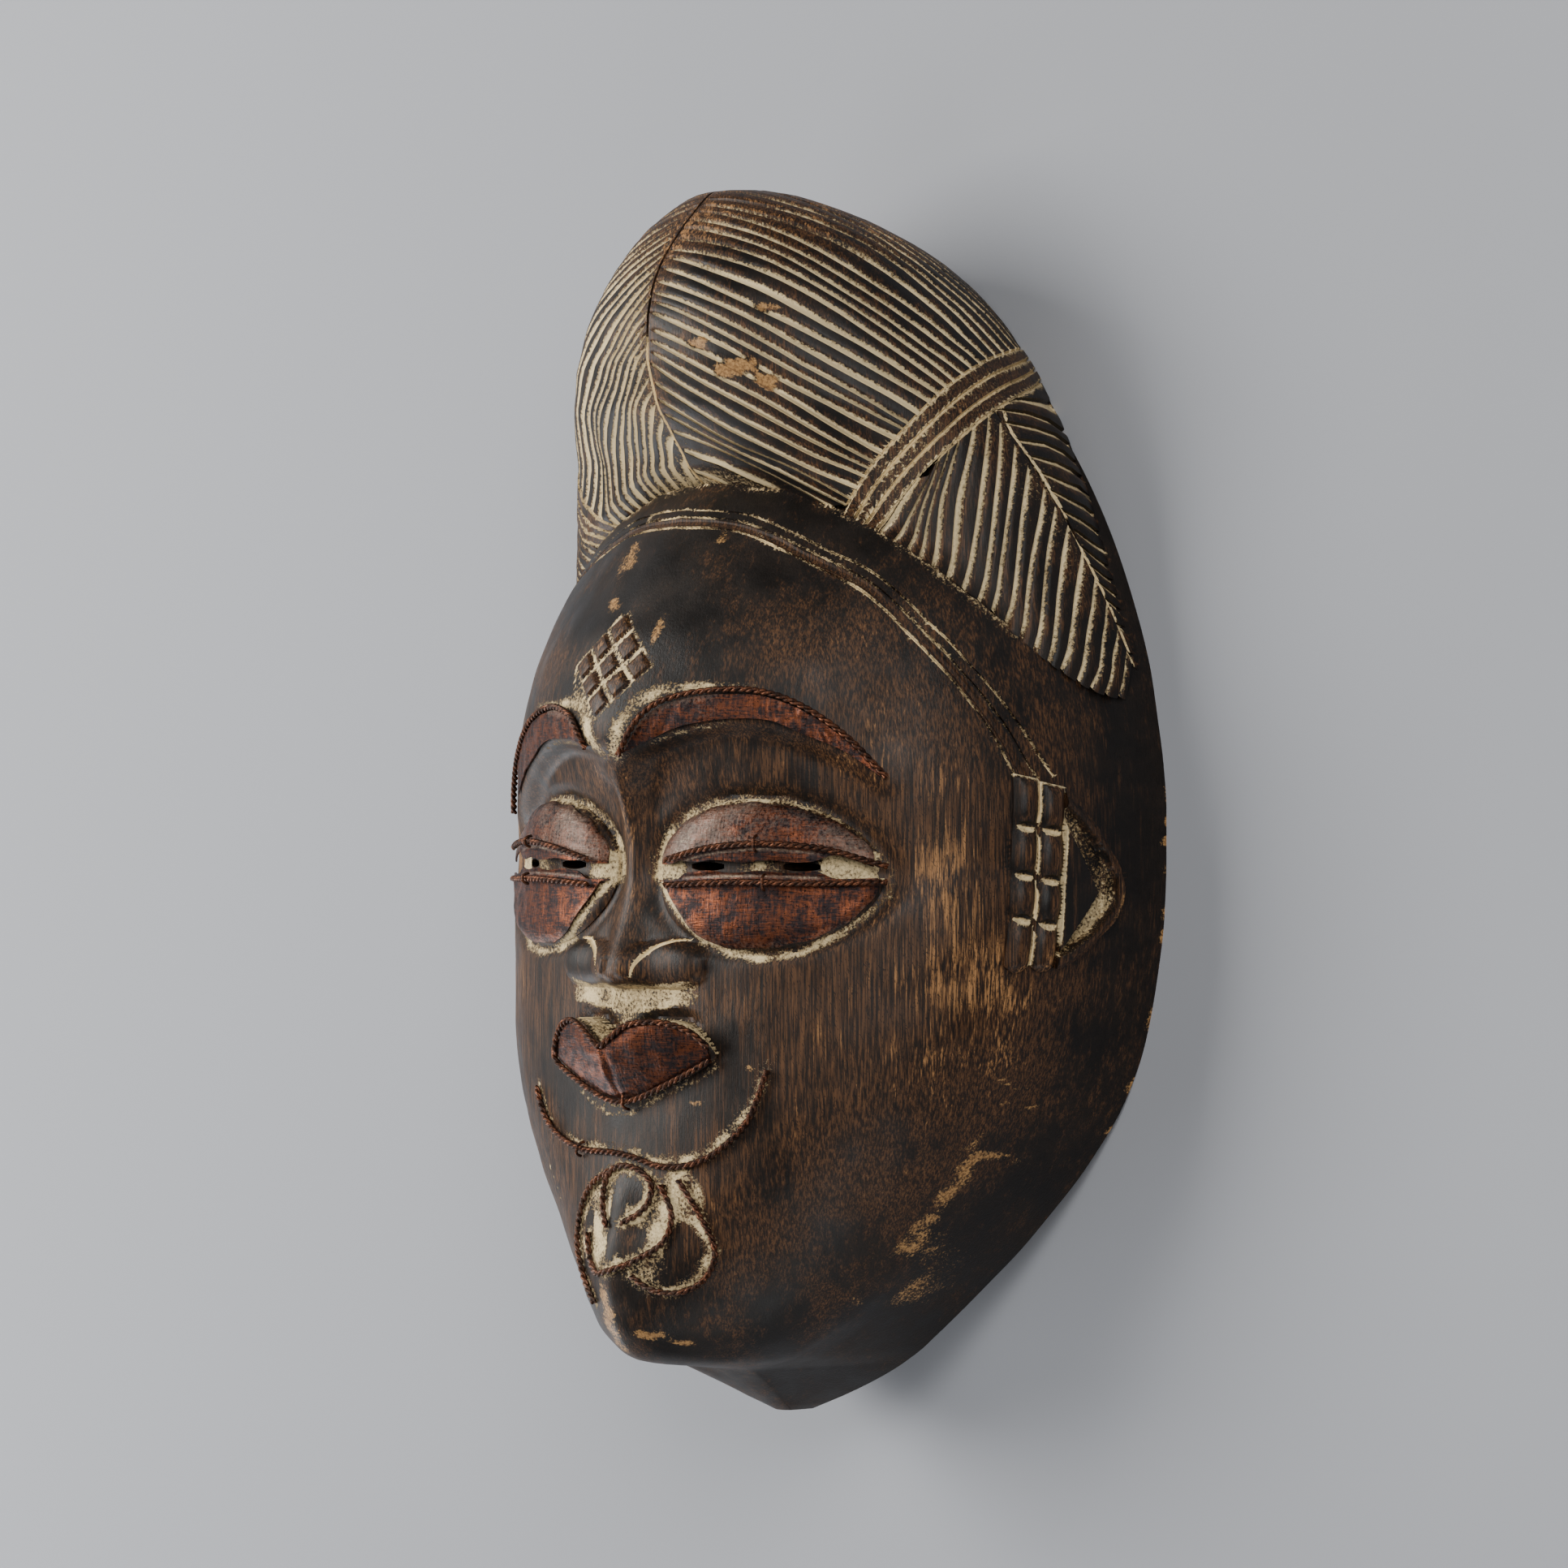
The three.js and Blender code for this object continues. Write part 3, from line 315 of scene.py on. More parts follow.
def quads(rows, columns):
    """Four corners of each cell of a grid."""
    i, j = np.meshgrid(np.arange(rows - 1), np.arange(columns - 1), indexing="ij")
    a = (i * columns + j).ravel()
    return np.stack([a, a + 1, a + columns + 1, a + columns], -1)


def sheet_solid(upper, lower):
    """Closed plate between two grids of points of the same size."""
    rows, columns = upper.shape[:2]
    n = rows * columns
    top = quads(rows, columns)
    edge = np.concatenate([np.arange(columns - 1), np.arange(rows - 1) * columns + columns - 1,
                           (rows - 1) * columns + np.arange(columns - 1, 0, -1),
                           np.arange(rows - 1, 0, -1) * columns])
    after = np.roll(edge, -1)
    side = np.stack([edge, edge + n, after + n, after], -1)
    points = np.concatenate([upper.reshape(-1, 3), lower.reshape(-1, 3)])
    return points, np.concatenate([top, top[:, ::-1] + n, side]).tolist()


def ring_solid(rings):
    """Closed stack of rings with flat ends."""
    rows, count = rings.shape[:2]
    i, j = np.meshgrid(np.arange(rows - 1), np.arange(count), indexing="ij")
    a = (i * count + j).ravel()
    b = (i * count + (j + 1) % count).ravel()
    walls = np.stack([a, b, b + count, a + count], -1).tolist()
    foot = list(range(count - 1, -1, -1))
    head = list(range((rows - 1) * count, rows * count))
    return rings.reshape(-1, 3), walls + [foot, head]


def new_object(name, solid, marks=None):
    """Object from points in millimetres and faces, turned outwards, with its marks."""
    points, faces = solid
    place = (points - [0, LENGTH / 2, 0]) * MM
    mesh = bpy.data.meshes.new(name)
    mesh.from_pydata(place.tolist(), [], faces)
    for mark in MARKS + ("known",):
        values = np.zeros(len(points), np.float32)
        if mark == "known":
            values += 1
        elif marks and mark in marks:
            values[:] = np.broadcast_to(marks[mark], values.shape)
        mesh.attributes.new(mark, "FLOAT", "POINT").data.foreach_set("value", values)
    item = bpy.data.objects.new(name, mesh)
    bpy.context.scene.collection.objects.link(item)
    if signed_volume(mesh) < 0:
        mesh.flip_normals()
    return item


def signed_volume(mesh):
    """Sum of the signed pyramids over the triangles: positive where the faces point out."""
    mesh.calc_loop_triangles()
    corner = np.empty(len(mesh.loop_triangles) * 3, np.int32)
    mesh.loop_triangles.foreach_get("vertices", corner)
    place = np.empty(len(mesh.vertices) * 3)
    mesh.vertices.foreach_get("co", place)
    a, b, c = place.reshape(-1, 3)[corner.reshape(-1, 3)].transpose(1, 0, 2)
    return float(np.einsum("ij,ij->i", a, np.cross(b, c)).sum() / 6)


def settle_marks(mesh):
    """Corners made by a cut know no marks: each takes the mean of its known neighbours, and of
    clay the least, so that the clay ends at the edge of the cut."""
    known = np.empty(len(mesh.vertices), np.float32)
    mesh.attributes["known"].data.foreach_get("value", known)
    pair = np.empty(len(mesh.edges) * 2, np.int32)
    mesh.edges.foreach_get("vertices", pair)
    a, b = pair.reshape(-1, 2).T
    for mark in MARKS:
        values = np.empty(len(known), np.float32)
        mesh.attributes[mark].data.foreach_get("value", values)
        sure = known > 0.5
        for _ in range(4):
            total = np.zeros(len(known))
            count = np.zeros(len(known))
            least = np.ones(len(known))
            for here, there in ((a, b), (b, a)):
                np.add.at(total, here[sure[there]], values[there[sure[there]]])
                np.add.at(count, here[sure[there]], 1)
                np.minimum.at(least, here[sure[there]], values[there[sure[there]]])
            fresh = ~sure & (count > 0)
            values[fresh] = least[fresh] if mark == "clay" else total[fresh] / count[fresh]
            sure = sure | fresh
        mesh.attributes[mark].data.foreach_set("value", values)
    mesh.attributes["known"].data.foreach_set("value", np.ones(len(known), np.float32))


def carve(block, tools, operation):
    """Join (UNION) or cut (DIFFERENCE) the block with a list of solids, which are used up."""
    shelf = bpy.data.collections.new("tools")
    for tool in tools:
        shelf.objects.link(tool)
    step = block.modifiers.new("carve", "BOOLEAN")
    step.operation = operation
    step.solver = "MANIFOLD"
    step.operand_type = "COLLECTION"
    step.collection = shelf
    graph = bpy.context.evaluated_depsgraph_get()
    mesh = bpy.data.meshes.new_from_object(block.evaluated_get(graph))
    block.modifiers.clear()
    old = block.data
    block.data = mesh
    bpy.data.meshes.remove(old)
    for tool in tools:
        bpy.data.meshes.remove(tool.data)
    bpy.data.collections.remove(shelf)
    settle_marks(mesh)
    print(operation.lower(), "of", len(tools), "solids leaves", len(mesh.polygons), "faces")
    return block


# %% Curves drawn through points
def spline(points, count):
    """Centripetal Catmull-Rom curve through the points of each line, resampled at even steps
    of its length. Works on one line (points, 3) or on many lines (lines, points, 3)."""
    p = np.asarray(points, float)
    many = p.ndim == 3
    p = p if many else p[None]
    p = np.concatenate([2 * p[:, :1] - p[:, 1:2], p, 2 * p[:, -1:] - p[:, -2:-1]], axis=1)
    d = np.sqrt(np.linalg.norm(np.diff(p, axis=1), axis=-1))[..., None]
    d0, d1, d2 = d[:, :-2], d[:, 1:-1], d[:, 2:]
    p0, p1, p2, p3 = p[:, :-3], p[:, 1:-2], p[:, 2:-1], p[:, 3:]
    m1 = ((p1 - p0) / d0 - (p2 - p0) / (d0 + d1) + (p2 - p1) / d1) * d1
    m2 = ((p2 - p1) / d1 - (p3 - p1) / (d1 + d2) + (p3 - p2) / d2) * d1
    u = np.linspace(0, 1, 25)[:, None]
    fine = ((2 * u ** 3 - 3 * u ** 2 + 1) * p1[:, :, None] + (u ** 3 - 2 * u ** 2 + u) * m1[:, :, None]
            + (3 * u ** 2 - 2 * u ** 3) * p2[:, :, None] + (u ** 3 - u ** 2) * m2[:, :, None])
    fine = np.concatenate([fine[:, :, :-1].reshape(len(p), -1, p.shape[-1]), fine[:, -1:, -1]], axis=1)
    run = np.linalg.norm(np.diff(fine, axis=1), axis=-1).cumsum(axis=1)
    run = np.concatenate([np.zeros((len(p), 1)), run], axis=1)
    length = run[:, -1]
    line = 2 * np.arange(len(p))[:, None]
    at = (line + np.linspace(0, 1, count)).ravel()
    known = (line + run / length[:, None]).ravel()
    flat = fine.reshape(-1, p.shape[-1])
    even = np.stack([np.interp(at, known, flat[:, k]) for k in range(p.shape[-1])], -1)
    even = even.reshape(len(p), count, -1)
    return (even, length) if many else (even[0], length[0])


def path_distance(x, height, path):
    """Distance in the front view from each point to the nearest stretch of a path."""
    a, b = path[:-1], path[1:]
    q = np.stack([x, height], -1)[..., None, :]
    run = b - a
    t = np.clip(((q - a) * run).sum(-1) / (run * run).sum(-1), 0, 1)
    return np.linalg.norm(q - a - t[..., None] * run, axis=-1).min(-1)


def tube(points, out, across, up, sides=6, turn=0.0):
    """Rings of an oval section along a path; out is the direction that the oval stands on."""
    run = unit(np.gradient(points, axis=0))
    wide = unit(np.cross(run, out))
    tall = np.cross(wide, run)
    angle = 2 * np.pi * (np.arange(sides) + turn) / sides
    return (points[:, None] + across * np.cos(angle)[:, None] * wide[:, None]
            + up * np.sin(angle)[:, None] * tall[:, None])


# %% [markdown]
# ## Marks on the face
#
# Clay was rubbed over the finished carving and wiped off, so it stays in every hollow: the
# channels round the eyes, the cut above the brows, the lip groove, the chin loops. Hands and
# cloth then rubbed the black through to brown on the cheek and temple, and knocks bared the
# tan wood. Painting such marks by hand would be guesswork on the far side; written as
# distances from the carved lines they stay true to the carving everywhere.

# %% Where the clay stays and the black is worn
# Centre, half width and half height of each place on the chin where the clay is rubbed off.
CHIN_ISLANDS = ((0.5, 56, 2.6, 13), (5, 63, 3, 4), (5.5, 48.8, 4.6, 4.6), (20.3, 47, 5, 8), (-13, 52, 2.5, 5))


def clay_on_face(x, height):
    """Clay from 0 to 1, as the largest of bells round the cut lines; round the eyes it is thinner above than
    below, as painted shade.
    """
    s = np.abs(x)
    flat = np.stack([x, height, 0 * x], -1)
    fray = ripple(flat, 7, 61)
    inner = 1 - ramp(12, 40, s)
    # Round each eye the clay band is wider and fuller below than above: the darker upper part is painted
    # shade on the channel wall that faces down.
    low = 1 - ramp(140, 150, height)
    high = ramp(152, 160, height)
    much = 0.7 - 0.2 * high - 0.28 * ramp(57, 70, s) + 0.2 * fray
    level = much * hill(path_distance(s, height, EYE_RING), 0.65 + 0.9 * inner + 0.4 * low)
    level = np.maximum(level, 0.62 * hill(np.hypot((s - 10) / 1.4, (height - 147) / 1.8), 2.7))
    lower = 4.5 * ramp(8, 26, s) * (x < 0)
    over_brow = path_distance(s, height + lower, BROW_CLAY)
    brow = (0.64 + 0.25 * fray) * hill(over_brow, 2.5 - 1.6 * ramp(6, 34, s))
    level = np.maximum(level, brow * (1 - ramp(34, 48, s)))
    under_brow = hill(height - line_at(x, BROW_FOOT, LEFT_BROW_FOOT) + 0.9, 0.7)
    level = np.maximum(level, 0.5 * under_brow * ramp(10, 16, s) * (1 - ramp(30, 44, s)))
    net = np.abs(x - LOZENGE_X) / LOZENGE_WIDTH + np.abs(height - LOZENGE_Y) / LOZENGE_HEIGHT
    level = np.maximum(level, (0.7 + 0.2 * fray) * (1 - ramp(0.95, 1.09, net)))
    top = 117.4 + 1.6 * ramp(10, 24, s) + 0.5 * fray
    foot = 110.3 + 1.4 * hill(s - 22, 5) - 1.5 * hill(x, 6) + 0.8 * fray
    shelf = ramp(foot - 0.8, foot + 0.8, height) * (1 - ramp(top - 0.9, top + 0.2, height))
    shelf = shelf * (1 - ramp(18, 28, s + 4 * fray))
    level = np.maximum(level, (0.66 + 0.2 * fray) * shelf)
    level = np.maximum(level, 0.52 * hill(x, 4.5) * ramp(101, 103, height) * (1 - ramp(109, 112, height)))
    lip_edge = path_distance(s, height, LIP_FOOT - [0, 1.8])
    level = np.maximum(level, (0.42 + 0.3 * fray) * hill(lip_edge, 1.0))
    for path, width, much in ((UNDER_LIP, 0.7, 0.55), (LOZENGE_EDGE, 0.55, 0.75)):
        level = np.maximum(level, (much + 0.2 * fray) * hill(path_distance(x, height, path), width))
    dots = ramp(0.1, 0.3, np.sin(height * 2.4 + 2 * fray))
    level = np.maximum(level, 0.75 * dots * hill(path_distance(x, height, JAW_DOTS), 0.35))
    arc = path_distance(x, height, MOUTH_ARC + [-0.3, 1.3])
    level = np.maximum(level, (0.5 + 0.3 * fray) * hill(arc, 0.9 + 0.6 * ramp(-5, 20, x)))
    for path in (CHIN_INNER, CHIN_MIDDLE, CHIN_OUTER, CHIN_FAR):
        level = np.maximum(level, (0.64 + 0.2 * fray) * hill(path_distance(x, height, path), 1.6))
    around = np.minimum(np.hypot((x - 2) / 21, (height - 52.5) / 18.5),
                        np.hypot((x - 19) / 8, (height - 61) / 9))
    patch = (0.62 + 0.3 * fray) * (1 - ramp(0.8, 1.05, around))
    patch = patch * ramp(-1, 1.5, height - 40.5 + 5 * ramp(4, 12, x))
    patch = patch * (1 - 0.35 * ramp(3, 6, x) * ramp(50, 46, height))
    for cx, cy, wide, tall in CHIN_ISLANDS:
        patch = patch * ramp(0.75, 1.1, np.hypot((x - cx) / wide, (height - cy) / tall))
    level = np.maximum(level, patch)
    return np.maximum(level, (0.5 + 0.2 * fray) * hill(height - hairline(x) + 0.2, 1.1))


# Centre, half width, half height and strength of each place rubbed brown.
RUBBED = ((64, 112, 16, 20, 0.6), (72, 178, 13, 18, 0.75), (50, 204, 20, 10, 0.6), (0, 150, 5, 24, 0.9),
          (30, 60, 14, 16, 0.45), (24, 172, 18, 7, 0.5), (58, 74, 18, 14, 0.5), (36, 112, 14, 8, 0.5),
          (2, 120, 8, 5, 0.8))


def rub_on_face(x, height, points):
    """Brown from 0 to 1: strong on the cheekbone, lighter on the temple, the nose and above the
    brows; the middle of the forehead is still black."""
    s = np.abs(x)
    level = 1.1 * hill(np.hypot((s - 82) / 15, (height - 128) / 40), 0.9)
    for cx, cy, wide, tall, much in RUBBED:
        level = np.maximum(level, much * hill(np.hypot((s - cx) / wide, (height - cy) / tall), 0.9))
    dark = 0.3 * hill(np.hypot((x - 4) / 42, (height - 224) / 24), 0.8)
    return np.clip(0.3 - dark + level * 0.85 + 0.24 * ripple(points, 24, 5), 0, 1.2)


# Centre, half width and half height of each chip; the long ones follow the jaw.
CHIPS = ((-14, 230, 4, 5.5), (-10.6, 218, 3.5, 2.5), (10.5, 210, 1.8, 5), (17, 234.8, 2.5, 1.2),
         (40, 96, 2, 1), (24, 86.3, 2.6, 0.9), (8.3, 24.8, 4.5, 1.6), (14.5, 22.4, 3, 1),
         (-2.8, 29, 3.4, 13), (85, 92, 0.4, 2.4), (83, 86, 0.3, 1.2), (76, 72, 0.8, 3))
# Height, half height and strength of each chip on the right edge of the rim.
RIM_CHIPS = ((167, 4, 0.6), (154.9, 1.5, 1.2), (136, 2.4, 0.75), (128.4, 1, 0.9), (107.5, 4, 0.75),
             (90, 2.5, 0.8))
JAW_WEAR = np.array([[79.3, 78.8], [75.6, 72.6], [72.4, 67], [65.1, 56.2], [57.4, 45.1], [50.1, 36.3],
                     [46, 32.4]])


def bare_on_face(x, height, points):
    """Tan chips: small spots on the knocked places and a broken streak along the jaw."""
    streak = hill(path_distance(x, height, JAW_WEAR), 0.5 + 0.6 * ramp(60, 50, height))
    level = 0.85 * streak * ramp(-0.7, 0.1, ripple(points, 20, 19))
    for sx, sh, wide, tall in CHIPS:
        level = np.maximum(level, hill(np.hypot((x - sx) / wide, (height - sh) / tall), 0.8))
    return level * (0.8 + 0.4 * ripple(points, 5, 8))


# %% [markdown]
# ## The face and the collar
#
# One grid of rows from the chin up and columns from rim to rim. Rows crowd where the form
# turns fast: under the chin and below the nose. The grid is raised by the relief formula, and
# a hand-carved unevenness of a few tenths of a millimetre keeps it from looking cast.

# %% Face shell
row_gaps = np.interp(np.arange(0, 272, 0.25), [0, 12, 13, 18, 30, 80, 111, 113, 119, 125, 200, 240, 272],
                     [2, 2, 0.5, 0.6, 1.5, 1.3, 1.2, 0.6, 0.6, 1.2, 1.4, 1.6, 4])
row_count = np.cumsum(0.25 / row_gaps)
SHELL_ROWS = np.interp(np.arange(0, row_count[-1], 1), row_count - row_count[0], np.arange(0, 272, 0.25))
fine = np.linspace(0, 0.74, 60)
wide = 0.74 + 0.26 * np.sin(np.linspace(0, np.pi / 2, 27)[1:])
collar_columns = np.array([1.2, 1.4, 1.6, 1.8, 1.93, 2.0])
half_columns = np.concatenate([fine, wide, collar_columns])
SHELL_COLUMNS = np.concatenate([-half_columns[:0:-1], half_columns])


def face_shell():
    """Grid of heights and shares across, raised along its own direction by the relief."""
    height, across = np.meshgrid(SHELL_ROWS, SHELL_COLUMNS, indexing="ij")
    base = face_plan(height, across)
    _, out = on_face(base[..., 0], height)
    shown = ramp(17, 22, height) * (1 - ramp(236, 242, height)) * (1 - ramp(0.86, 0.95, np.abs(across)))
    tooled = 0.16 * ripple(base, 11, 3) + 0.12 * ripple(base, 30, 4)
    away = 1 - ramp(1.9, 2.0, np.abs(across))
    lift = shown * relief(base[..., 0], height) + away * tooled
    points = base + out * lift[..., None]
    points[..., 2] = np.maximum(points[..., 2], np.where(np.abs(across) > 1.99, base[..., 2], 0))
    x = base[..., 0]
    on_front = 1 - ramp(0.93, 1.0, np.abs(across))
    marks = {"clay": clay_on_face(x, height) * on_front,
             "rub": rub_on_face(x, height, base) * (1 - 0.7 * ramp(0.97, 1.03, np.abs(across))),
             "bare": bare_on_face(x, height, base)}
    rim = 0.9 * hill(np.abs(across) - 2, 0.05) * ramp(0.3, 0.7, ripple(base, 9, 12)) * ramp(40, 80, height)
    for at, tall, much in RIM_CHIPS:
        rim = np.maximum(rim, much * hill((height - at) / tall, 0.8) * hill(across - 2, 0.055))
    marks["bare"] = np.maximum(marks["bare"], rim)
    return new_object("shell", ring_solid(points), {k: v.ravel() for k, v in marks.items()})


mask = face_shell()
print("face grid:", len(SHELL_ROWS), "rows by", len(SHELL_COLUMNS), "columns")


# %% [markdown]
# ## Eyelids, lips and the forehead lozenge
#
# These stand out with a crisp edge, which a coarse grid over the whole face would blur. Each
# gets its own grid whose edge is the edge of the form, and is then joined to the block.

# %% Forms that stand out of the face
def laid_on_face(x, height, lift, depth, marks=None, name="form"):
    """Closed plate over a grid of front view points, from the given lift down to a depth."""
    upper, _ = on_face(x, height, lift)
    lower, _ = on_face(x, height, -depth + 0 * x)
    marks = marks or {}
    doubled = {k: np.concatenate([np.ravel(v)] * 2) for k, v in marks.items()}
    return new_object(name, sheet_solid(upper, lower), doubled)


def eyelid(side):
    """Lens of columns from corner to corner; the rows run from the lower to the upper edge."""
    a = np.pi * np.linspace(0.03, 0.97, 58)
    v = 0.5 - 0.5 * np.cos(np.pi * np.linspace(0.06, 0.94, 26))
    v = (v - v[0]) / (v[-1] - v[0])
    a, v = np.meshgrid(a, v, indexing="ij")
    x = side * (EYE_X - 0.95 * EYE_WIDTH * np.cos(a))
    height = EYE_Y + 0.95 * EYE_HEIGHT * np.sin(a) * (2 * v - 1)
    lift = relief(x, height) + lid_swell(x, height)
    flat = np.stack([x, height, 0 * x], -1)
    s = np.abs(x)
    away = np.abs(height - SLIT_LINE)
    well = (1 - ramp(2.6, 3.8, away)) * ramp(13, 19, s)
    lift = lift - 1.5 * well + 0.3 * ripple(flat, 3.5, 21) * well
    pale = np.maximum(0.72 * ramp(54, 57, s), 0.6 * (1 - ramp(17, 21, s)))
    pale = np.maximum(pale, 0.55 * hill(s - 41, 5) + 0.25 * ripple(flat, 3, 23))
    ring = hill(path_distance(s, height, EYE_RING), 1.2) * (0.7 - 0.4 * ramp(55, 70, s))
    clay = np.maximum(pale * (1 - ramp(3, 5, away)), ring) + 0.12 * ripple(flat, 4, 22)
    return laid_on_face(x, height, lift, 9, {"clay": clay, "rub": 0.5 + 0 * x})


def lips():
    """Heart shape: columns from corner to corner, rows from the lower to the upper edge."""
    across = np.sin(np.linspace(-1.35, 1.35, 72)) / np.sin(1.35)
    x, v = np.meshgrid(across, np.linspace(0, 1, 20), indexing="ij")
    x = np.where(x < 0, -LIP_ENDS[0], LIP_ENDS[1]) * x
    top, foot = lip_lines(x)
    height = foot + (top - foot) * v
    edge = np.minimum(v, 1 - v)
    lift = relief(x, height) + lip_swell(x, height) - 0.5 * hill(edge, 0.03)
    return laid_on_face(x, height, lift, 3, {"clay": 0.62 * hill(edge, 0.045), "rub": 0.3 + 0 * x})


def lozenge(cells=3):
    """Cushions in a slanted square lattice, rounded down at their edges, so that the light
    clay shows as a net of lines between them."""
    made = []
    for i in range(cells):
        for j in range(cells):
            u, v = np.meshgrid(np.linspace(0.09, 0.91, 9), np.linspace(0.09, 0.91, 9), indexing="ij")
            px, py = (i + u) / cells, (j + v) / cells
            x = LOZENGE_X + LOZENGE_WIDTH * (px - py)
            height = LOZENGE_Y + LOZENGE_HEIGHT * (px + py - 1)
            edge = np.maximum(np.minimum(np.minimum(u, 1 - u), np.minimum(v, 1 - v)) - 0.09, 0)
            lift = relief(x, height) + 1.1 * (1 - (1 - np.minimum(edge / 0.22, 1)) ** 2) ** 0.5 - 0.1
            made.append(laid_on_face(x, height, lift, 3, {"clay": 0.25 * (edge < 0.02), "rub": 0.85 + 0 * x}))
    return made


raised = [eyelid(-1), eyelid(1), lips()] + lozenge()
mask = carve(mask, raised, "UNION")

# %% [markdown]
# ## The crest of hair
#
# The hair is a smooth helmet scored by hand with a gouge: long strokes from the parting, a
# plain band with four lines, a fan below it and short strokes behind. Each area is a family
# of curves between a few key lines, and every gouge stroke is one period across the family.
# The grid follows the strokes, so their edges stay crisp with few faces; a second way,
# cutting some 140 separate gouge tools out of a solid, makes thinner and worse faces.

# %% Key lines of the hair, drawn next to the crest and then drawn in to it
# Each row is a stroke number and then the points along that stroke. The two sides differ a
# little, as hand work does: the band sits lower on the left, and the strokes above it turn
# down to the hairline.
SIDE_RIGHT = np.array([
    [0, 0, 246, 76, 12, 243.5, 75, 24, 239, 72, 36, 233.5, 69],
    [1.5, 0, 255, 78, 11, 250.5, 76.5, 22.5, 245, 73.5, 36, 238.5, 69.5],
    [3.5, 0, 265, 84, 11.6, 260, 79, 23.3, 254.3, 74.5, 44, 243.5, 66.5],
    [5.5, 0, 273, 88.5, 17, 262, 80, 34, 253.7, 71.5, 51.5, 243.8, 63.8],
    [7.5, 0, 282, 91, 17.5, 271.5, 86, 36, 260, 73.7, 55.5, 250, 62],
    [10, 0, 290, 91, 19, 281.6, 88.5, 38, 270, 78, 59.5, 254, 60.3],
    [12, 0, 297.5, 89, 21, 289, 87.5, 43, 275.5, 76.5, 64, 261, 57.5],
    [13.5, 0, 301.5, 88, 21, 294, 86.5, 43, 281, 77, 65, 264, 57],
    [15.5, 0, 308, 83.5, 21, 300.8, 84, 44, 288.5, 74, 67.5, 269.8, 51.5],
    [17.5, 0, 313, 80, 22, 308.5, 79, 46, 295.5, 68.5, 68.5, 273.6, 45.5],
    [19.5, 0, 318.6, 76, 23, 313.5, 74.5, 47, 300, 64, 69, 277, 38.5],
    [21.5, 0, 323.7, 72, 22, 319, 71, 45, 306.5, 60.5, 67.5, 280.5, 30.5],
    [23.5, 0, 327, 69, 20, 323.5, 66, 43, 313.5, 53, 65, 283.5, 23],
    [25.5, 0, 330, 60, 21, 325.5, 57, 46, 311.5, 42, 61, 286, 12],
    [28.5, 0, 328.5, 47, 22, 322.5, 43, 45, 308, 26, 51, 288, -2],
    [31.5, 0, 322.5, 30, 16, 318.5, 26, 34, 309, 14, 41, 301, -2],
    [34, 0, 314, 9, 8, 312.5, 7, 17, 309.5, 3, 24, 308, -2],
    [35, 0, 309, -1, 5, 308.5, -1.5, 10, 308, -2, 14, 307, -3]], float)
SIDE_LEFT = np.array([
    [0, 0, 254, 79, 1.5, 250, 77, 2.5, 246, 75, 3, 239, 74],
    [1.5, 0, 264, 83.5, 4.5, 259, 79, 7.5, 251, 76, 8.5, 238, 74],
    [3, 0, 270, 86.5, 8, 262, 81, 14, 252, 76, 15.5, 236.5, 73],
    [4.5, 0, 275.5, 89, 10, 266, 84, 19, 253, 75.5, 21.5, 235, 72],
    [6, 0, 281, 91, 11, 270.5, 87, 23, 254.5, 76, 27, 233.5, 70.5],
    [8, 0, 289, 91, 15, 272, 87, 31, 256, 74.5, 33.5, 232.5, 69.5],
    [10, 0, 295, 90.5, 18, 276, 87, 37, 258.5, 73, 41, 237.5, 68],
    [12.5, 0, 304, 86.5, 19, 284.5, 88.5, 40, 264, 75, 52, 244.5, 63.5],
    [14.5, 0, 309.5, 83, 22, 293, 86, 44, 272, 73.5, 62, 249.5, 58],
    [17, 0, 316, 78, 24, 303, 80, 48, 283, 66, 69, 257, 50],
    [20.5, 0, 323.7, 72, 24, 315, 71.5, 48, 299, 58, 72, 266, 38],
    [22.5, 0, 327, 69, 22, 322, 65.5, 46, 308, 52, 69.5, 274, 27],
    [25.5, 0, 330, 60, 23, 324.5, 56, 49, 306, 38, 65, 281, 10],
    [28.5, 0, 328.5, 47, 22, 322.5, 43, 46, 306, 25, 54, 289, -2],
    [31.5, 0, 322.5, 30, 16, 318.5, 26, 34, 309, 14, 42, 300, -2],
    [34, 0, 314, 9, 8, 312.5, 7, 17, 309.5, 3, 24, 308, -2],
    [35, 0, 309, -1, 5, 308.5, -1.5, 10, 308, -2, 14, 307, -3]], float)
BAND_RIGHT = np.array([
    [0, 44, 236, 66.5, 54.5, 252.5, 63, 63, 263, 58.4, 67, 274, 47, 66, 282, 31, 61, 286, 15,
     50.5, 288.5, -2],
    [1, 51, 229, 63, 60.5, 243.5, 58.6, 67.5, 253.3, 53.5, 73, 264.5, 42, 72.5, 270.5, 30, 68.5, 275.5, 15,
     58.5, 280, -2]], float)
BAND_LEFT = np.array([
    [0, 31, 231, 71, 47, 243, 65.5, 58, 248.3, 60, 67, 255.5, 54, 71, 267, 37, 64, 281, 10, 54, 289, -2],
    [1, 42, 225, 68, 52, 233.5, 63, 62, 239, 57.5, 71, 245.5, 50, 76.5, 257, 34, 71, 271, 12,
     62, 279, -2]], float)
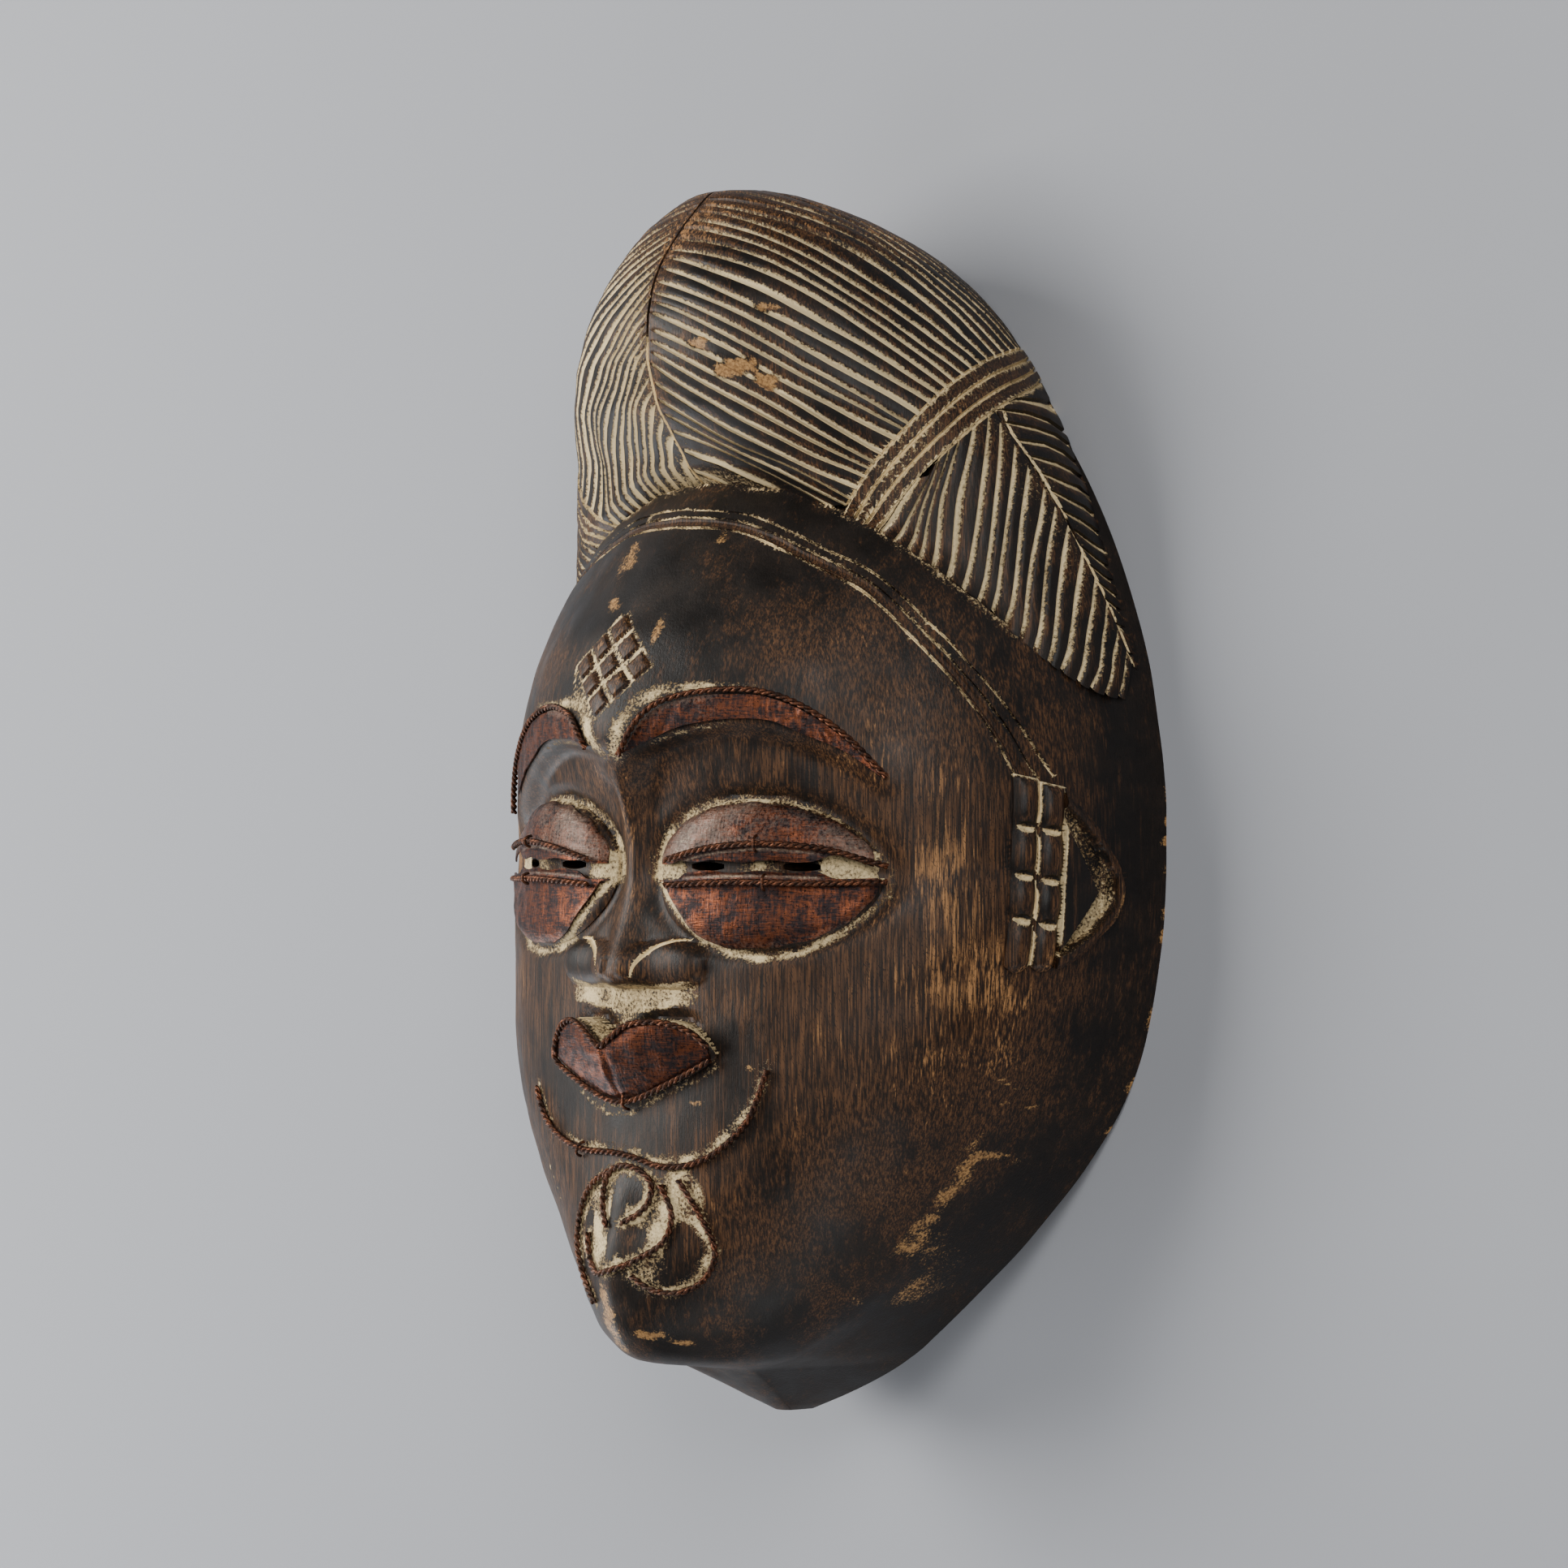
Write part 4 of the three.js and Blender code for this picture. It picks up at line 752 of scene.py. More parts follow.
FAN_RIGHT = np.array([[0, 63.6, 250.4, 56, 57.5, 241.3, 60.2, 50.3, 229.6, 63.4],
                      [0.7, 66.2, 250.5, 54, 61.5, 241, 58, 54.5, 229.5, 61.8],
                      [2.5, 69, 255.5, 51.5, 65.8, 240, 55, 61.5, 224.5, 57.5],
                      [4.5, 72.2, 261.5, 46.5, 70.6, 246, 51, 68.6, 219, 53],
                      [6.5, 72.6, 269, 36, 76.5, 246, 43.2, 74.6, 212, 48.5],
                      [8.5, 77.8, 260.5, 31.5, 81, 243, 37, 80.5, 205, 43.5],
                      [10.5, 83.2, 248.5, 26, 85.3, 230, 32, 85, 199, 39],
                      [12.5, 86, 238.5, 19.3, 89.2, 221, 26, 89.8, 194, 33.5],
                      [14.5, 89.5, 225, 12.5, 92.7, 212, 18.5, 93.3, 189, 27],
                      [16.5, 93.2, 211.5, 8, 95.6, 203, 12.5, 96.5, 187, 18],
                      [18, 96, 203, 5.5, 97.5, 197, 8, 98, 185, 11]], float)
FAN_LEFT = np.concatenate([np.array([
    [0, 51.2, 234.6, 63.5, 48.2, 229.6, 65, 43.4, 221.5, 66.3],
    [2.5, 62, 239, 57.5, 59, 230, 60, 55, 218, 62],
    [4.5, 70, 244.8, 51, 69, 234, 54, 65, 213, 56], [6.5, 73.5, 250, 44, 74, 236, 48, 71.5, 208, 51.5],
    [8.5, 76.5, 257.5, 34, 80, 240, 39, 78.5, 203, 45]], float), FAN_RIGHT[6:]])
SPINE = np.array([[72.5, 270.5, 31], [76.3, 263.6, 31.8], [80.3, 256, 28.6], [85.1, 242.2, 21.1],
                  [88.7, 227.3, 14], [93.2, 211.2, 7.8], [96.8, 197, 4.5]])
BACK_PANEL = np.array([[0, 71.4, 272.6, 35.5, 69.8, 276, 16, 60, 280.6, -2],
                       [0.7, 72, 271, 34.5, 70.3, 271, 12, 65, 269, -2],
                       [2.5, 75, 265.5, 33.3, 75.5, 263.5, 16, 71, 260.5, -2],
                       [4.5, 80.3, 256, 28.5, 79.7, 254, 13, 76, 251, -2],
                       [6.5, 83.6, 247.5, 24.3, 83.2, 243.5, 11, 80.5, 240, -2],
                       [8.5, 86.2, 237, 18, 85.7, 233, 8, 83.5, 230.5, -2],
                       [10.5, 88.5, 228, 14.3, 88, 224, 6, 86.5, 221, -2],
                       [12.5, 91, 219, 11, 90.5, 215.5, 4, 89.5, 213, -2],
                       [15, 95.8, 201.5, 5.5, 95.5, 199.5, 2, 95, 198, -2]], float)
CREST_CENTRE = np.array([0, 243, 14.0])
HAIR_ROOT = 9.0


def onto_crest(points, lift):
    """Draw points in or out to the crest along rays from its middle, by halving the ray 26
    times; at each height the crest is an ellipse."""
    ray = unit(points - CREST_CENTRE)
    near = np.full(points.shape[:-1], 10.0)
    far = np.full(points.shape[:-1], 140.0)
    for _ in range(26):
        r = (near + far) / 2
        q = CREST_CENTRE + ray * r[..., None]
        centre, deep, wide = np.moveaxis(along(CREST, q[..., 1]), -1, 0)
        ellipse = ((q[..., 0] / np.maximum(wide, 1e-6)) ** 2
                   + ((q[..., 2] - centre) / np.maximum(deep, 1e-6)) ** 2)
        inside = (q[..., 1] < LENGTH) & (ellipse < 1)
        near = np.where(inside, r, near)
        far = np.where(inside, far, r)
    return CREST_CENTRE + ray * (near + lift)[..., None]


def parting_lean(points):
    """The parting leans up to 3.5 mm to the left near the crown."""
    return -3.4 * hill(points[..., 1] - 311, 11) * (points[..., 2] > 45)


# %% The hair sinks to a crevice at the hairline
proud_x = np.linspace(0, 100, 41)
proud_line = hairline(proud_x)
centre, deep, wide = np.moveaxis(along(CREST, proud_line), -1, 0)
crest_z = centre + deep * np.maximum(1 - (proud_x / wide) ** 2, 0) ** 0.5
face_z = on_face(np.minimum(proud_x, 84), proud_line)[0][:, 2]
PROUD = np.stack([proud_x, 1.2 + np.maximum(crest_z - face_z, 0) * (proud_x < 84)], -1)
print("hair stands", np.round(PROUD[[0, 16, 28], 1], 1), "mm over the bottom of the crevice")


def over_hairline(points):
    """Height over the hairline at the same place from side to side."""
    return points[..., 1] - hairline(points[..., 0])


def hair_dip(points):
    """Fall of the hair towards the hairline: over 7 mm, steepest at the end."""
    proud = along(PROUD, np.minimum(np.abs(points[..., 0]), 100))[..., 0]
    return proud * (1 - ramp(-1.5, 6.5, over_hairline(points)))


# %% Gouged panels
# Across one stroke: place in the period, depth and clay. One wall is steep, as the gouge was held leaning to
# one side, and has little clay at its foot, a painted shadow line along the groove; the other comes up slowly
# and is full of clay.
STROKE = np.array([[0, 0, 0], [0.18, 0, 0], [0.3, 0.03, 0], [0.345, 0.85, 0.1], [0.4, 1, 1],
                   [0.49, 0.92, 1], [0.58, 0.6, 0.85], [0.68, 0.12, 0.45], [0.84, 0, 0]])
WIDE_STROKE = np.array([[0, 0, 0], [0.13, 0, 0], [0.22, 0.05, 0.3], [0.29, 0.75, 0.9], [0.4, 1, 1],
                        [0.54, 0.97, 1], [0.65, 0.6, 0.95], [0.74, 0.1, 0.5], [0.87, 0, 0]])
STROKE_DEPTH = 1.3
TIP = 3.2


def worn_patch(points):
    """Tan patch on the right where a few strokes are rubbed away, and a smaller one above."""
    level = 0
    for x, height, z, size in ((28, 280, 86, 5.5), (35, 276, 81, 4.5), (17, 287, 89, 3), (33, 296, 79, 3.2)):
        away = np.linalg.norm((points - [x, height, z]) * [0.75, 1.35, 0.9], axis=-1)
        level = np.maximum(level, hill(away, size * 0.62))
    return ramp(0.35, 0.75, level + 0.3 * ripple(points, 3.2, 77))


def hair_panel(table, side, seed, columns, start=0.6, stop=0.0, stagger=1.2, profile=STROKE, pale=1.1):
    """Family of curves between key lines, scored by strokes. Each stroke wavers by a
    twentieth of its period, takes the profile across, and is narrow where it starts, as the
    gouge went in."""
    rng = np.random.default_rng(seed)
    strokes = int(table[-1, 0] - table[0, 0])
    shares = np.linspace(table[0, 0], table[-1, 0], 129)
    lattice, length = spline(along(table, shares).reshape(129, -1, 3), 81)
    rows = len(profile)
    k = np.append(np.repeat(np.arange(strokes), rows), strokes)
    t, depth, clay = np.concatenate([np.tile(profile, (strokes, 1)), profile[:1]]).T[..., None]
    end = np.interp(k + t[:, 0], shares - shares[0], length)
    tip = np.minimum(TIP / end, 0.3)[:, None]
    ends = np.array([0, 0.1, 0.22, 0.36, 0.55, 0.8])
    between = tip + (1 - 2 * tip) * np.linspace(0, 1, columns)
    a = np.concatenate([tip * ends, between, 1 - tip * ends[::-1]], axis=1)
    phase = rng.uniform(0, 2 * np.pi, (strokes + 1, 4))[k]
    speed = rng.uniform(3, 9, (strokes + 1, 2))[k]
    waver = (0.05 * np.sin(speed[:, :1] * a + phase[:, :1])
             + 0.03 * np.sin(2.3 * speed[:, 1:] * a + phase[:, 1:2]))
    inside = ((k + t[:, 0] > 0) & (k + t[:, 0] < strokes))[:, None]
    narrow = 1 - 0.55 * np.clip(1 - a * end[:, None] / 8, 0, 1) ** 2 * (t > 0)
    share = np.clip((k[:, None] + 0.46 + (t - 0.46) * narrow + waver * inside) / strokes, 0, 1) * 128
    i = np.minimum(share.astype(int), 127)
    j = np.minimum((a * 80).astype(int), 79)
    fi, fj = (share - i)[..., None], (a * 80 - j)[..., None]
    points = ((1 - fi) * ((1 - fj) * lattice[i, j] + fj * lattice[i, j + 1])
              + fi * ((1 - fj) * lattice[i + 1, j] + fj * lattice[i + 1, j + 1]))
    points[..., 0] += side * parting_lean(points) * (1 - a) ** 3
    begin = start + stagger * rng.uniform(0, 1, strokes + 1)[k][:, None]
    finish = stop * rng.uniform(0.4, 1.6, strokes + 1)[k][:, None]
    in_tip = np.clip(1 - (a * end[:, None] - begin) / 1.5, 0, 1)
    out_tip = np.clip(1 - ((1 - a) * end[:, None] - finish) / 1.5, 0, 1) * (stop > 0)
    shape = (np.clip(1 - in_tip ** 2, 0, 1) * np.clip(1 - out_tip ** 2, 0, 1)) ** 0.5
    flip = np.array([side, 1, 1])
    onto = onto_crest(points, 0 * a) * flip
    worn = worn_patch(onto)
    over = over_hairline(onto)
    strength = 1 + 0.14 * np.sin(speed[:, :1] * 2 * a + phase[:, 2:3])
    lift = -STROKE_DEPTH * depth * shape * strength * (1 - 0.8 * worn) + 0.14 * ripple(onto, 7, 50)
    lift = lift - hair_dip(onto) - 0.5 * worn
    upper = onto_crest(points, lift)
    lower = onto_crest(points, -HAIR_ROOT + 0 * lift)
    crown = ramp(300, 326, onto[..., 1])
    fade = 0.5 + 0.5 * np.sin(1.7 * speed[:, 1:] * a + phase[:, 3:])
    clay = clay * ramp(0.2, 0.6, shape) * (1 - (0.3 + 0.3 * fade) * crown - 0.12 * fade)
    # Clay thins over the last 3 mm above the hairline: painted shade where the hair sinks into the crevice.
    clay = clay * (0.6 + 0.4 * ramp(0.3, 3, over))
    dust = (0.22 + 0.1 * (side < 0)) * hill(a * end[:, None], 13) * (1 - crown)
    dust = np.maximum(dust, 0.52 * hill(onto[..., 0], 26) * (1 - ramp(1, 8, over)))
    ridge = hill(a * end[:, None], 2.6) * ramp(258, 272, onto[..., 1]) * (start == 0.6)
    clay = pale * clay * (1 - 0.45 * ridge)
    rub = 0.14 + 0.35 * (np.abs(t - 0.76) < 0.1) + 0.65 * crown + 0.9 * ridge + 0.4 * ripple(onto, 17, seed)
    rub = np.clip(rub, 0, 1.1)
    marks = {"clay": np.maximum(clay * (1 - worn), dust), "rub": rub, "bare": worn}
    doubled = {key: np.tile(np.broadcast_to(value, a.shape).ravel(), 2) for key, value in marks.items()}
    return new_object("hair", sheet_solid(upper * flip, lower * flip), doubled)


def plain_patch(table, rows, columns, side, seed):
    """Ungouged part of the hair between two key lines."""
    lattice, _ = spline(along(table, np.linspace(0, 1, rows)).reshape(rows, -1, 3), columns)
    flip = np.array([side, 1, 1])
    onto = onto_crest(lattice, np.zeros((rows, columns))) * flip
    upper = onto_crest(lattice, 0.3 + 0.14 * ripple(onto, 7, 50) - hair_dip(onto))
    lower = onto_crest(lattice, np.full((rows, columns), -HAIR_ROOT))
    rub = np.clip(0.15 + 0.4 * ripple(onto, 12, seed), 0, 1).ravel()
    marks = {"rub": np.tile(rub, 2) + 0.55, "clay": 0.26}
    return new_object("band", sheet_solid(upper * flip, lower * flip), marks)


def crest_groove(path, count, across, up, side, clay, seed):
    """Long cutter with an oval section laid along a line of the crest; clay is a number or a
    function of the points."""
    line, _ = spline(path, count)
    line = onto_crest(line, np.zeros(count)) * [side, 1, 1]
    line[:, 0] += parting_lean(line) * (np.abs(line[:, 0]) < 1)
    out = unit(line - CREST_CENTRE)
    line = line + out * (0.25 - hair_dip(line) + 0.12 * ripple(line, 6, seed))[:, None]
    rings = tube(line, out, across, up, sides=8, turn=0.5)
    level = clay(line) if callable(clay) else np.full(count, clay)
    return new_object("groove", ring_solid(rings), {"clay": np.repeat(level, 8), "rub": 0.4})


def crest_core():
    """Stack of ellipses 7 mm under the hair, which carries the panels."""
    height = np.append(np.linspace(188, 326, 56), [328, 329.8])
    centre, deep, wide = np.moveaxis(along(CREST, height), -1, 0)
    inset = np.minimum(7, deep * 0.4)
    top = np.minimum(height, LENGTH - 4 - 0.05 * (LENGTH - height))
    turn = np.linspace(0, 2 * np.pi, 72, endpoint=False)
    rings = np.stack([(wide - inset)[:, None] * np.sin(turn), np.repeat(top[:, None], 72, axis=1),
                      centre[:, None] + (deep - inset)[:, None] * np.cos(turn)], -1)
    return new_object("core", ring_solid(rings))


def hair_cut():
    """Everything below the hairline, as a prism from back to front."""
    x = np.linspace(-112, 112, 113)
    ring = np.concatenate([np.stack([x, hairline(x) - 0.6], -1), [[112, 150], [-112, 150]]])
    rings = np.stack([np.concatenate([ring, np.full((len(ring), 1), z)], axis=1) for z in (-10.0, 140.0)])
    return new_object("cut", ring_solid(rings), {"clay": 0.3, "rub": 0.3})


def hairline_step():
    """Cutter with a square section along the hairline: it leaves a crisp, slightly chipped
    edge on the forehead."""
    x = np.linspace(-90, 90, 181)
    flat = np.stack([x, hairline(x)], -1)
    points, out = on_face(x, flat[:, 1])
    run = unit(np.gradient(flat, axis=0))
    up = np.concatenate([np.stack([-run[:, 1], run[:, 0]], -1), 0 * x[:, None]], axis=1)
    up = unit(up - out * (up * out).sum(-1, keepdims=True))
    nick = 0.35 * ripple(points, 4, 44) + 0.5 * np.maximum(ripple(points, 9, 45) - 0.55, 0)
    corners = ((0.0, 4.0), (0.0, -2.6), (5.0, -2.6), (5.0, 4.0))
    rings = np.stack([points + up * (across - nick * (across < 1))[:, None] + out * rise
                      for across, rise in corners], axis=1)
    return new_object("step", ring_solid(rings), {"clay": 0.5, "rub": 0.3})


mask = carve(mask, [hairline_step()], "DIFFERENCE")
crest = crest_core()
panels = []
grooves = []
for side, rows, band, fan in ((-1, SIDE_LEFT, BAND_LEFT, FAN_LEFT), (1, SIDE_RIGHT, BAND_RIGHT, FAN_RIGHT)):
    panels.append(hair_panel(rows, side, 31 + side, 24, profile=STROKE if side > 0 else WIDE_STROKE))
    panels.append(plain_patch(band, 9, 46, side, 41 + side))
    panels.append(hair_panel(fan, side, 51 + side, 14, start=0.3, stagger=0.9, pale=0.88))
    panels.append(hair_panel(BACK_PANEL, side, 61 + side, 4, start=0.3, stop=2.2, stagger=0.5, pale=0.85))
    for place in (0, 0.34, 0.67, 1):
        line = along(band, np.array([place])).reshape(-1, 3)
        grooves.append(crest_groove(line, 90, 0.55, 1.0, side, 0.72, 71 + side + int(9 * place)))
    grooves.append(crest_groove(SPINE, 60, 0.6, 0.95, side, 0.8, 76 + side))
PARTING = np.array([[0, 250, 78], [0, 265, 84], [0, 282, 91], [0, 300, 88], [0, 316, 78], [0, 327, 69],
                    [0, 330, 60], [0, 326, 40], [0, 317, 15], [0, 309, -2]])
grooves.append(crest_groove(PARTING, 110, 0.5, 1.3, 1, lambda p: 0.9 - 0.85 * ramp(284, 294, p[:, 1]), 79))
crest = carve(crest, panels, "UNION")
crest = carve(crest, grooves, "DIFFERENCE")
crest = carve(crest, [hair_cut()], "DIFFERENCE")
mask = carve(mask, [crest], "UNION")


# %% [markdown]
# ## Ears
#
# The ears are low blocks on the side of the head: two strips with leaf-shaped notches in
# front, and a shell behind with a raised band, a raised triangle and two hollows between. They
# are worked out from the side view and laid on the head, and the notches are cut with small
# pointed solids, as a knife would cut them.

# %% Ear blocks
# Depth of the front edge and of the cuts behind the two strips; the strips lean about a
# middle height; height of the ear over the head; height and depth along the back edge.
EAR_FRONT, EAR_COLUMNS = 48.3, (41.6, 34.2)
EAR_LEAN, EAR_MIDDLE = 0.06, 145
EAR_LIFT = 2.6
EAR_BACK = np.array([[121.5, 35.5], [124, 30.5], [129.3, 23], [136.3, 16], [141.6, 14.5], [146.3, 15.4],
                     [154, 20.3], [161.9, 27], [168.3, 34.5]])
# Depth of each column of notches and their heights; depth and height of the triangle's corners.
EAR_LEAVES = ((45, (158.8, 146.2, 134.8)), (38, (157.8, 144.9, 133.4)))
EAR_TRIANGLE = np.array([[34.6, 161], [23.8, 141.6], [35.5, 126.5]])


def on_side(side, depth, height, lift):
    """Point on the side of the head under a point of the side view: the face arch solved for
    x at a given depth, or the collar behind the jaw."""
    def at(z, h):
        front, jaw_x, jaw_z, rim_x, rim_z, power = np.moveaxis(along(FACE, h), -1, 0)
        up = np.clip((z - jaw_z) / (front - jaw_z), 0, 1)
        down = np.clip((jaw_z - z) / (jaw_z - rim_z), 0, 1)
        x = jaw_x * (1 - up ** power) ** (1 / power) + (rim_x - jaw_x) * down
        return np.stack([side * x, h + 0 * z, z + 0 * h], -1)
    depth, height = np.broadcast_arrays(np.asarray(depth, float), np.asarray(height, float))
    rise = at(depth, height + 2) - at(depth, height - 2)
    out = unit(np.cross(rise, at(depth + 4, height) - at(depth - 4, height)))
    out = out * np.where(out[..., :1] * side < 0, -1, 1)
    return at(depth, height) + out * np.asarray(lift)[..., None]


def ear_strip(side, front, back, low, high, notches):
    """Leaning strip of the ear: cushions between the notches, rounded down at the edges, with
    clay in the cut behind."""
    u, v = np.meshgrid(np.linspace(0, 1, 50), np.linspace(0, 1, 12), indexing="ij")
    foot = low + 2.0 * (2 * v - 1) ** 2
    h = foot + (high - foot + 0.22 * (front + (back - front) * v - 41)) * u
    z = front + (back - front) * v + EAR_LEAN * (EAR_MIDDLE - h)
    wide = front - back
    edge = np.minimum(np.minimum(v, 1 - v) * wide, np.minimum(u, 1 - u) * (high - low) + 0.2)
    dip = np.max([hill(h - at, 2.0) for at in notches], axis=0)
    lift = EAR_LIFT + 0.4 - 2.2 * (1 - np.minimum(edge / 3.2, 1)) ** 2 - 1.1 * dip
    points = on_side(side, z, h, lift)
    rub = 0.35 + 0.6 * hill(v - 0.65, 0.18) * (1 - dip) + 0.4 * hill(h - low, 7)
    to_cut = np.minimum(1 - v, v + (front > 45)) * wide
    clay = np.maximum(0.95 * hill(to_cut, 0.42), 0.75 * hill((1 - u) * (high - low), 0.7))
    marks = {"rub": np.tile(rub.ravel(), 2), "clay": np.tile(clay.ravel(), 2)}
    return new_object("ear", sheet_solid(points, on_side(side, z, h, -4 + 0 * z)), marks)


def ear_shell(side):
    """Shell behind the strips: a raised band along its outline, a raised triangle and, between
    them, two hollows with clay in their corners."""
    h, v = np.meshgrid(np.linspace(122.2, 167.6, 64), np.linspace(0, 1, 32), indexing="ij")
    back = along(EAR_BACK, h)[..., 0]
    front = EAR_COLUMNS[1] + 0.4 + EAR_LEAN * (EAR_MIDDLE - h)
    z = front + (back - front) * v
    to_edge = path_distance(z, h, EAR_BACK[:, ::-1])
    band = 1 - ramp(2.4, 3.1, to_edge - 0.9 * ramp(134, 128, h))
    a, b, c = EAR_TRIANGLE
    inside = 100.0
    for p, q in ((a, b), (b, c)):
        run = unit(q - p)
        inside = np.minimum(inside, (z - p[0]) * -run[1] - (h - p[1]) * -run[0])
    plate = ramp(-0.4, 0.2, inside)
    folds = 0.9 * hill(z - 20.5 + 0.1 * np.abs(h - 142), 0.8) * hill(h - 146, 9)
    lift = np.maximum(2.9 * band, 2.6 * plate - 0.06 * np.maximum(inside, 0)) + folds * (1 - band) + 0.2
    lift = lift - 1.0 * hill(to_edge, 0.7)
    low = ramp(143, 138, h)
    clay = (1 - band) * (1 - plate) * (0.44 + 0.2 * low) + 0.75 * hill(inside + 0.2, 0.45)
    clay = np.maximum(clay, 0.4 * (1 - plate) * hill(to_edge - 3.2, 0.4))
    clay = np.maximum(clay, 0.9 * hill(front - z, 0.4) * ramp(126, 130, h) * ramp(163, 159, h))
    # Brown along the raised band at mid height is rubbed wear and also a painted sheen on the band.
    rub = 0.35 + 0.7 * hill(to_edge - 0.8, 1.0) * hill(h - 140, 12)
    points = on_side(side, z, h, lift)
    marks = {"rub": rub, "clay": clay, "bare": 0.62 * hill(to_edge - 0.4, 0.8) * hill(h - 139, 5)}
    doubled = {key: np.concatenate([value.ravel()] * 2) for key, value in marks.items()}
    return new_object("ear", sheet_solid(points, on_side(side, z, h, -4 + 0 * z)), doubled)


def leaf_cut(side, z, h):
    """Lens-shaped notch across a strip: a spindle whose section is a lens, lying level; clay only on its
    lower half, the upper wall black as painted shade.
    """
    u = np.linspace(-1, 1, 13)
    z = z + EAR_LEAN * (EAR_MIDDLE - h)
    place = on_side(side, z - 3.7 * u, h - 0.6 * u, EAR_LIFT - 0.9 + 0 * u)
    out = unit(on_side(side, z - 3.7 * u, h - 0.6 * u, EAR_LIFT + 0 * u) - place)
    rings = tube(place, out, 1.0, 1.0, sides=8) - place[:, None]
    rings = place[:, None] + rings * 1.7 * np.maximum(1 - np.abs(u) ** 1.5, 0.03)[:, None, None]
    # Clay on the lower half of the notch only: the upper wall, which faces down, stays black as painted
    # shade.
    clay = 0.8 * ramp(0.9, -0.1, rings[..., 1] - place[:, None, 1])
    return new_object("notch", ring_solid(rings), {"clay": clay.ravel(), "rub": 0.2})


def ear_notches(side):
    """Leaf notches in the two strips."""
    return [leaf_cut(side, z, h) for z, heights in EAR_LEAVES for h in heights]


ear_parts = []
for side in (-1, 1):
    middle, back = EAR_COLUMNS
    ear_parts.append(ear_strip(side, EAR_FRONT, middle + 0.2, 121, 171, EAR_LEAVES[0][1]))
    ear_parts.append(ear_strip(side, middle - 0.2, back + 0.2, 121, 170.5, EAR_LEAVES[1][1]))
    ear_parts.append(ear_shell(side))
mask = carve(mask, ear_parts, "UNION")


# %% [markdown]
# ## The hollow, the slits and the scored lines
#
# The back is dug out with an adze, which leaves shallow scallops. The eye slits go right
# through. Fine lines run from ear to ear over the forehead, scored with a point: they
# are cut here with long thin solids, because they are narrower than the grid of the face.

# %% Hollow with adze marks
def hollow():
    """Half ellipse at each height, scalloped by two crossed waves about 14 mm long."""
    height = np.concatenate([np.linspace(14, 26, 8), np.linspace(30, 292, 74), [295, 297.5, 299]])
    half_width, depth = np.moveaxis(along(HOLLOW, height), -1, 0)
    turn = np.linspace(-np.pi / 2, np.pi / 2, 61)
    scallop = 0.5 * np.abs(np.sin(turn * 9 + 1.3 * np.sin(height[:, None] / 17)))
    scallop = scallop * np.abs(np.sin(height[:, None] / 5.2 + 1.7 * np.sin(turn * 3)))
    grow = scallop * np.minimum(1, np.cos(turn) * 4) * np.minimum(1, half_width[:, None] / 20)
    arc = np.stack([(half_width[:, None] + grow) * np.sin(turn), height[:, None] + 0 * turn,
                    (depth[:, None] + grow) * np.cos(turn)], -1)
    foot = np.stack([np.stack([side * half_width, height, -20 + 0 * height], -1) for side in (-1, 1)])
    rings = np.concatenate([foot[:1].transpose(1, 0, 2), arc, foot[1:].transpose(1, 0, 2)], axis=1)
    return new_object("hollow", ring_solid(rings), {"inner": 1.0, "rub": 0.3})


def slit(side, low, high):
    """Lens-shaped prism through the lid."""
    x = np.linspace(low, high, 9)
    rise = 1.2 * np.sin(np.pi * (np.arange(9) + 0.9) / 9.8) ** 0.6
    upper = np.stack([x, SLIT_LINE - 0.1 + rise], -1)
    lower = np.stack([x, SLIT_LINE - 0.1 - rise], -1)
    ring = np.concatenate([upper, lower[::-1]]) * [side, 1]
    rings = np.stack([np.concatenate([ring, np.full((18, 1), z)], axis=1) for z in (50.0, 125.0)])
    return new_object("slit", ring_solid(rings), {"rub": 0.2})


SCORED_LINE = np.array([[0, 243.6], [22, 241.2], [43, 232.6], [60, 223.2], [73, 210.3], [83, 197],
                        [90.3, 183.8], [95, 172]])
# Distance inside the outer line, half width, half depth, clay and brown.
SCORES = ((0, 0.42, 0.75, 0.52, 0.2), (2.1, 0.42, 0.75, 0.45, 0.2), (3.6, 1.15, 0.6, 0.05, 0.7),
          (4.9, 0.4, 0.85, 0.56, 0.4))


def scored_line(inward, across, up, clay, rub, seed):
    """Thin cutter along the forehead line, moved inwards, wavering in depth, with broken clay."""
    half, _ = spline(SCORED_LINE, 80)
    path = np.concatenate([half[:0:-1] * [-1, 1], half])
    run = unit(np.gradient(path, axis=0))
    closer = inward * (1 - 0.25 * np.abs(path[:, :1]) / 90)
    path = path - closer * np.stack([-run[:, 1], run[:, 0]], -1)
    flat = np.concatenate([path, 0 * path[:, :1]], axis=1)
    path = path + 0.2 * ripple(flat, 13, seed)[:, None] * [0, 1]
    points, out = on_face(path[:, 0], path[:, 1], 0.1 + 0.2 * ripple(flat, 22, seed + 1))
    broken = np.repeat(clay + 0.35 * ripple(flat, 9, seed + 2), 6)
    return new_object("score", ring_solid(tube(points, out, across, up)), {"clay": broken, "rub": rub})


def path_cut(path, across, up, count=24, clay=0.9):
    """Groove along a front view path, tapering to nothing at both ends."""
    path, _ = spline(path, count)
    points, out = on_face(path[:, 0], path[:, 1], relief(path[:, 0], path[:, 1]))
    rings = tube(points, out, across, up)
    swell = np.clip(np.sin(np.pi * np.linspace(0.02, 0.98, count)), 0, 1)[:, None, None] ** 0.5
    centre = points[:, None]
    return new_object("groove", ring_solid(centre + (rings - centre) * swell), {"clay": clay, "rub": 0.5})


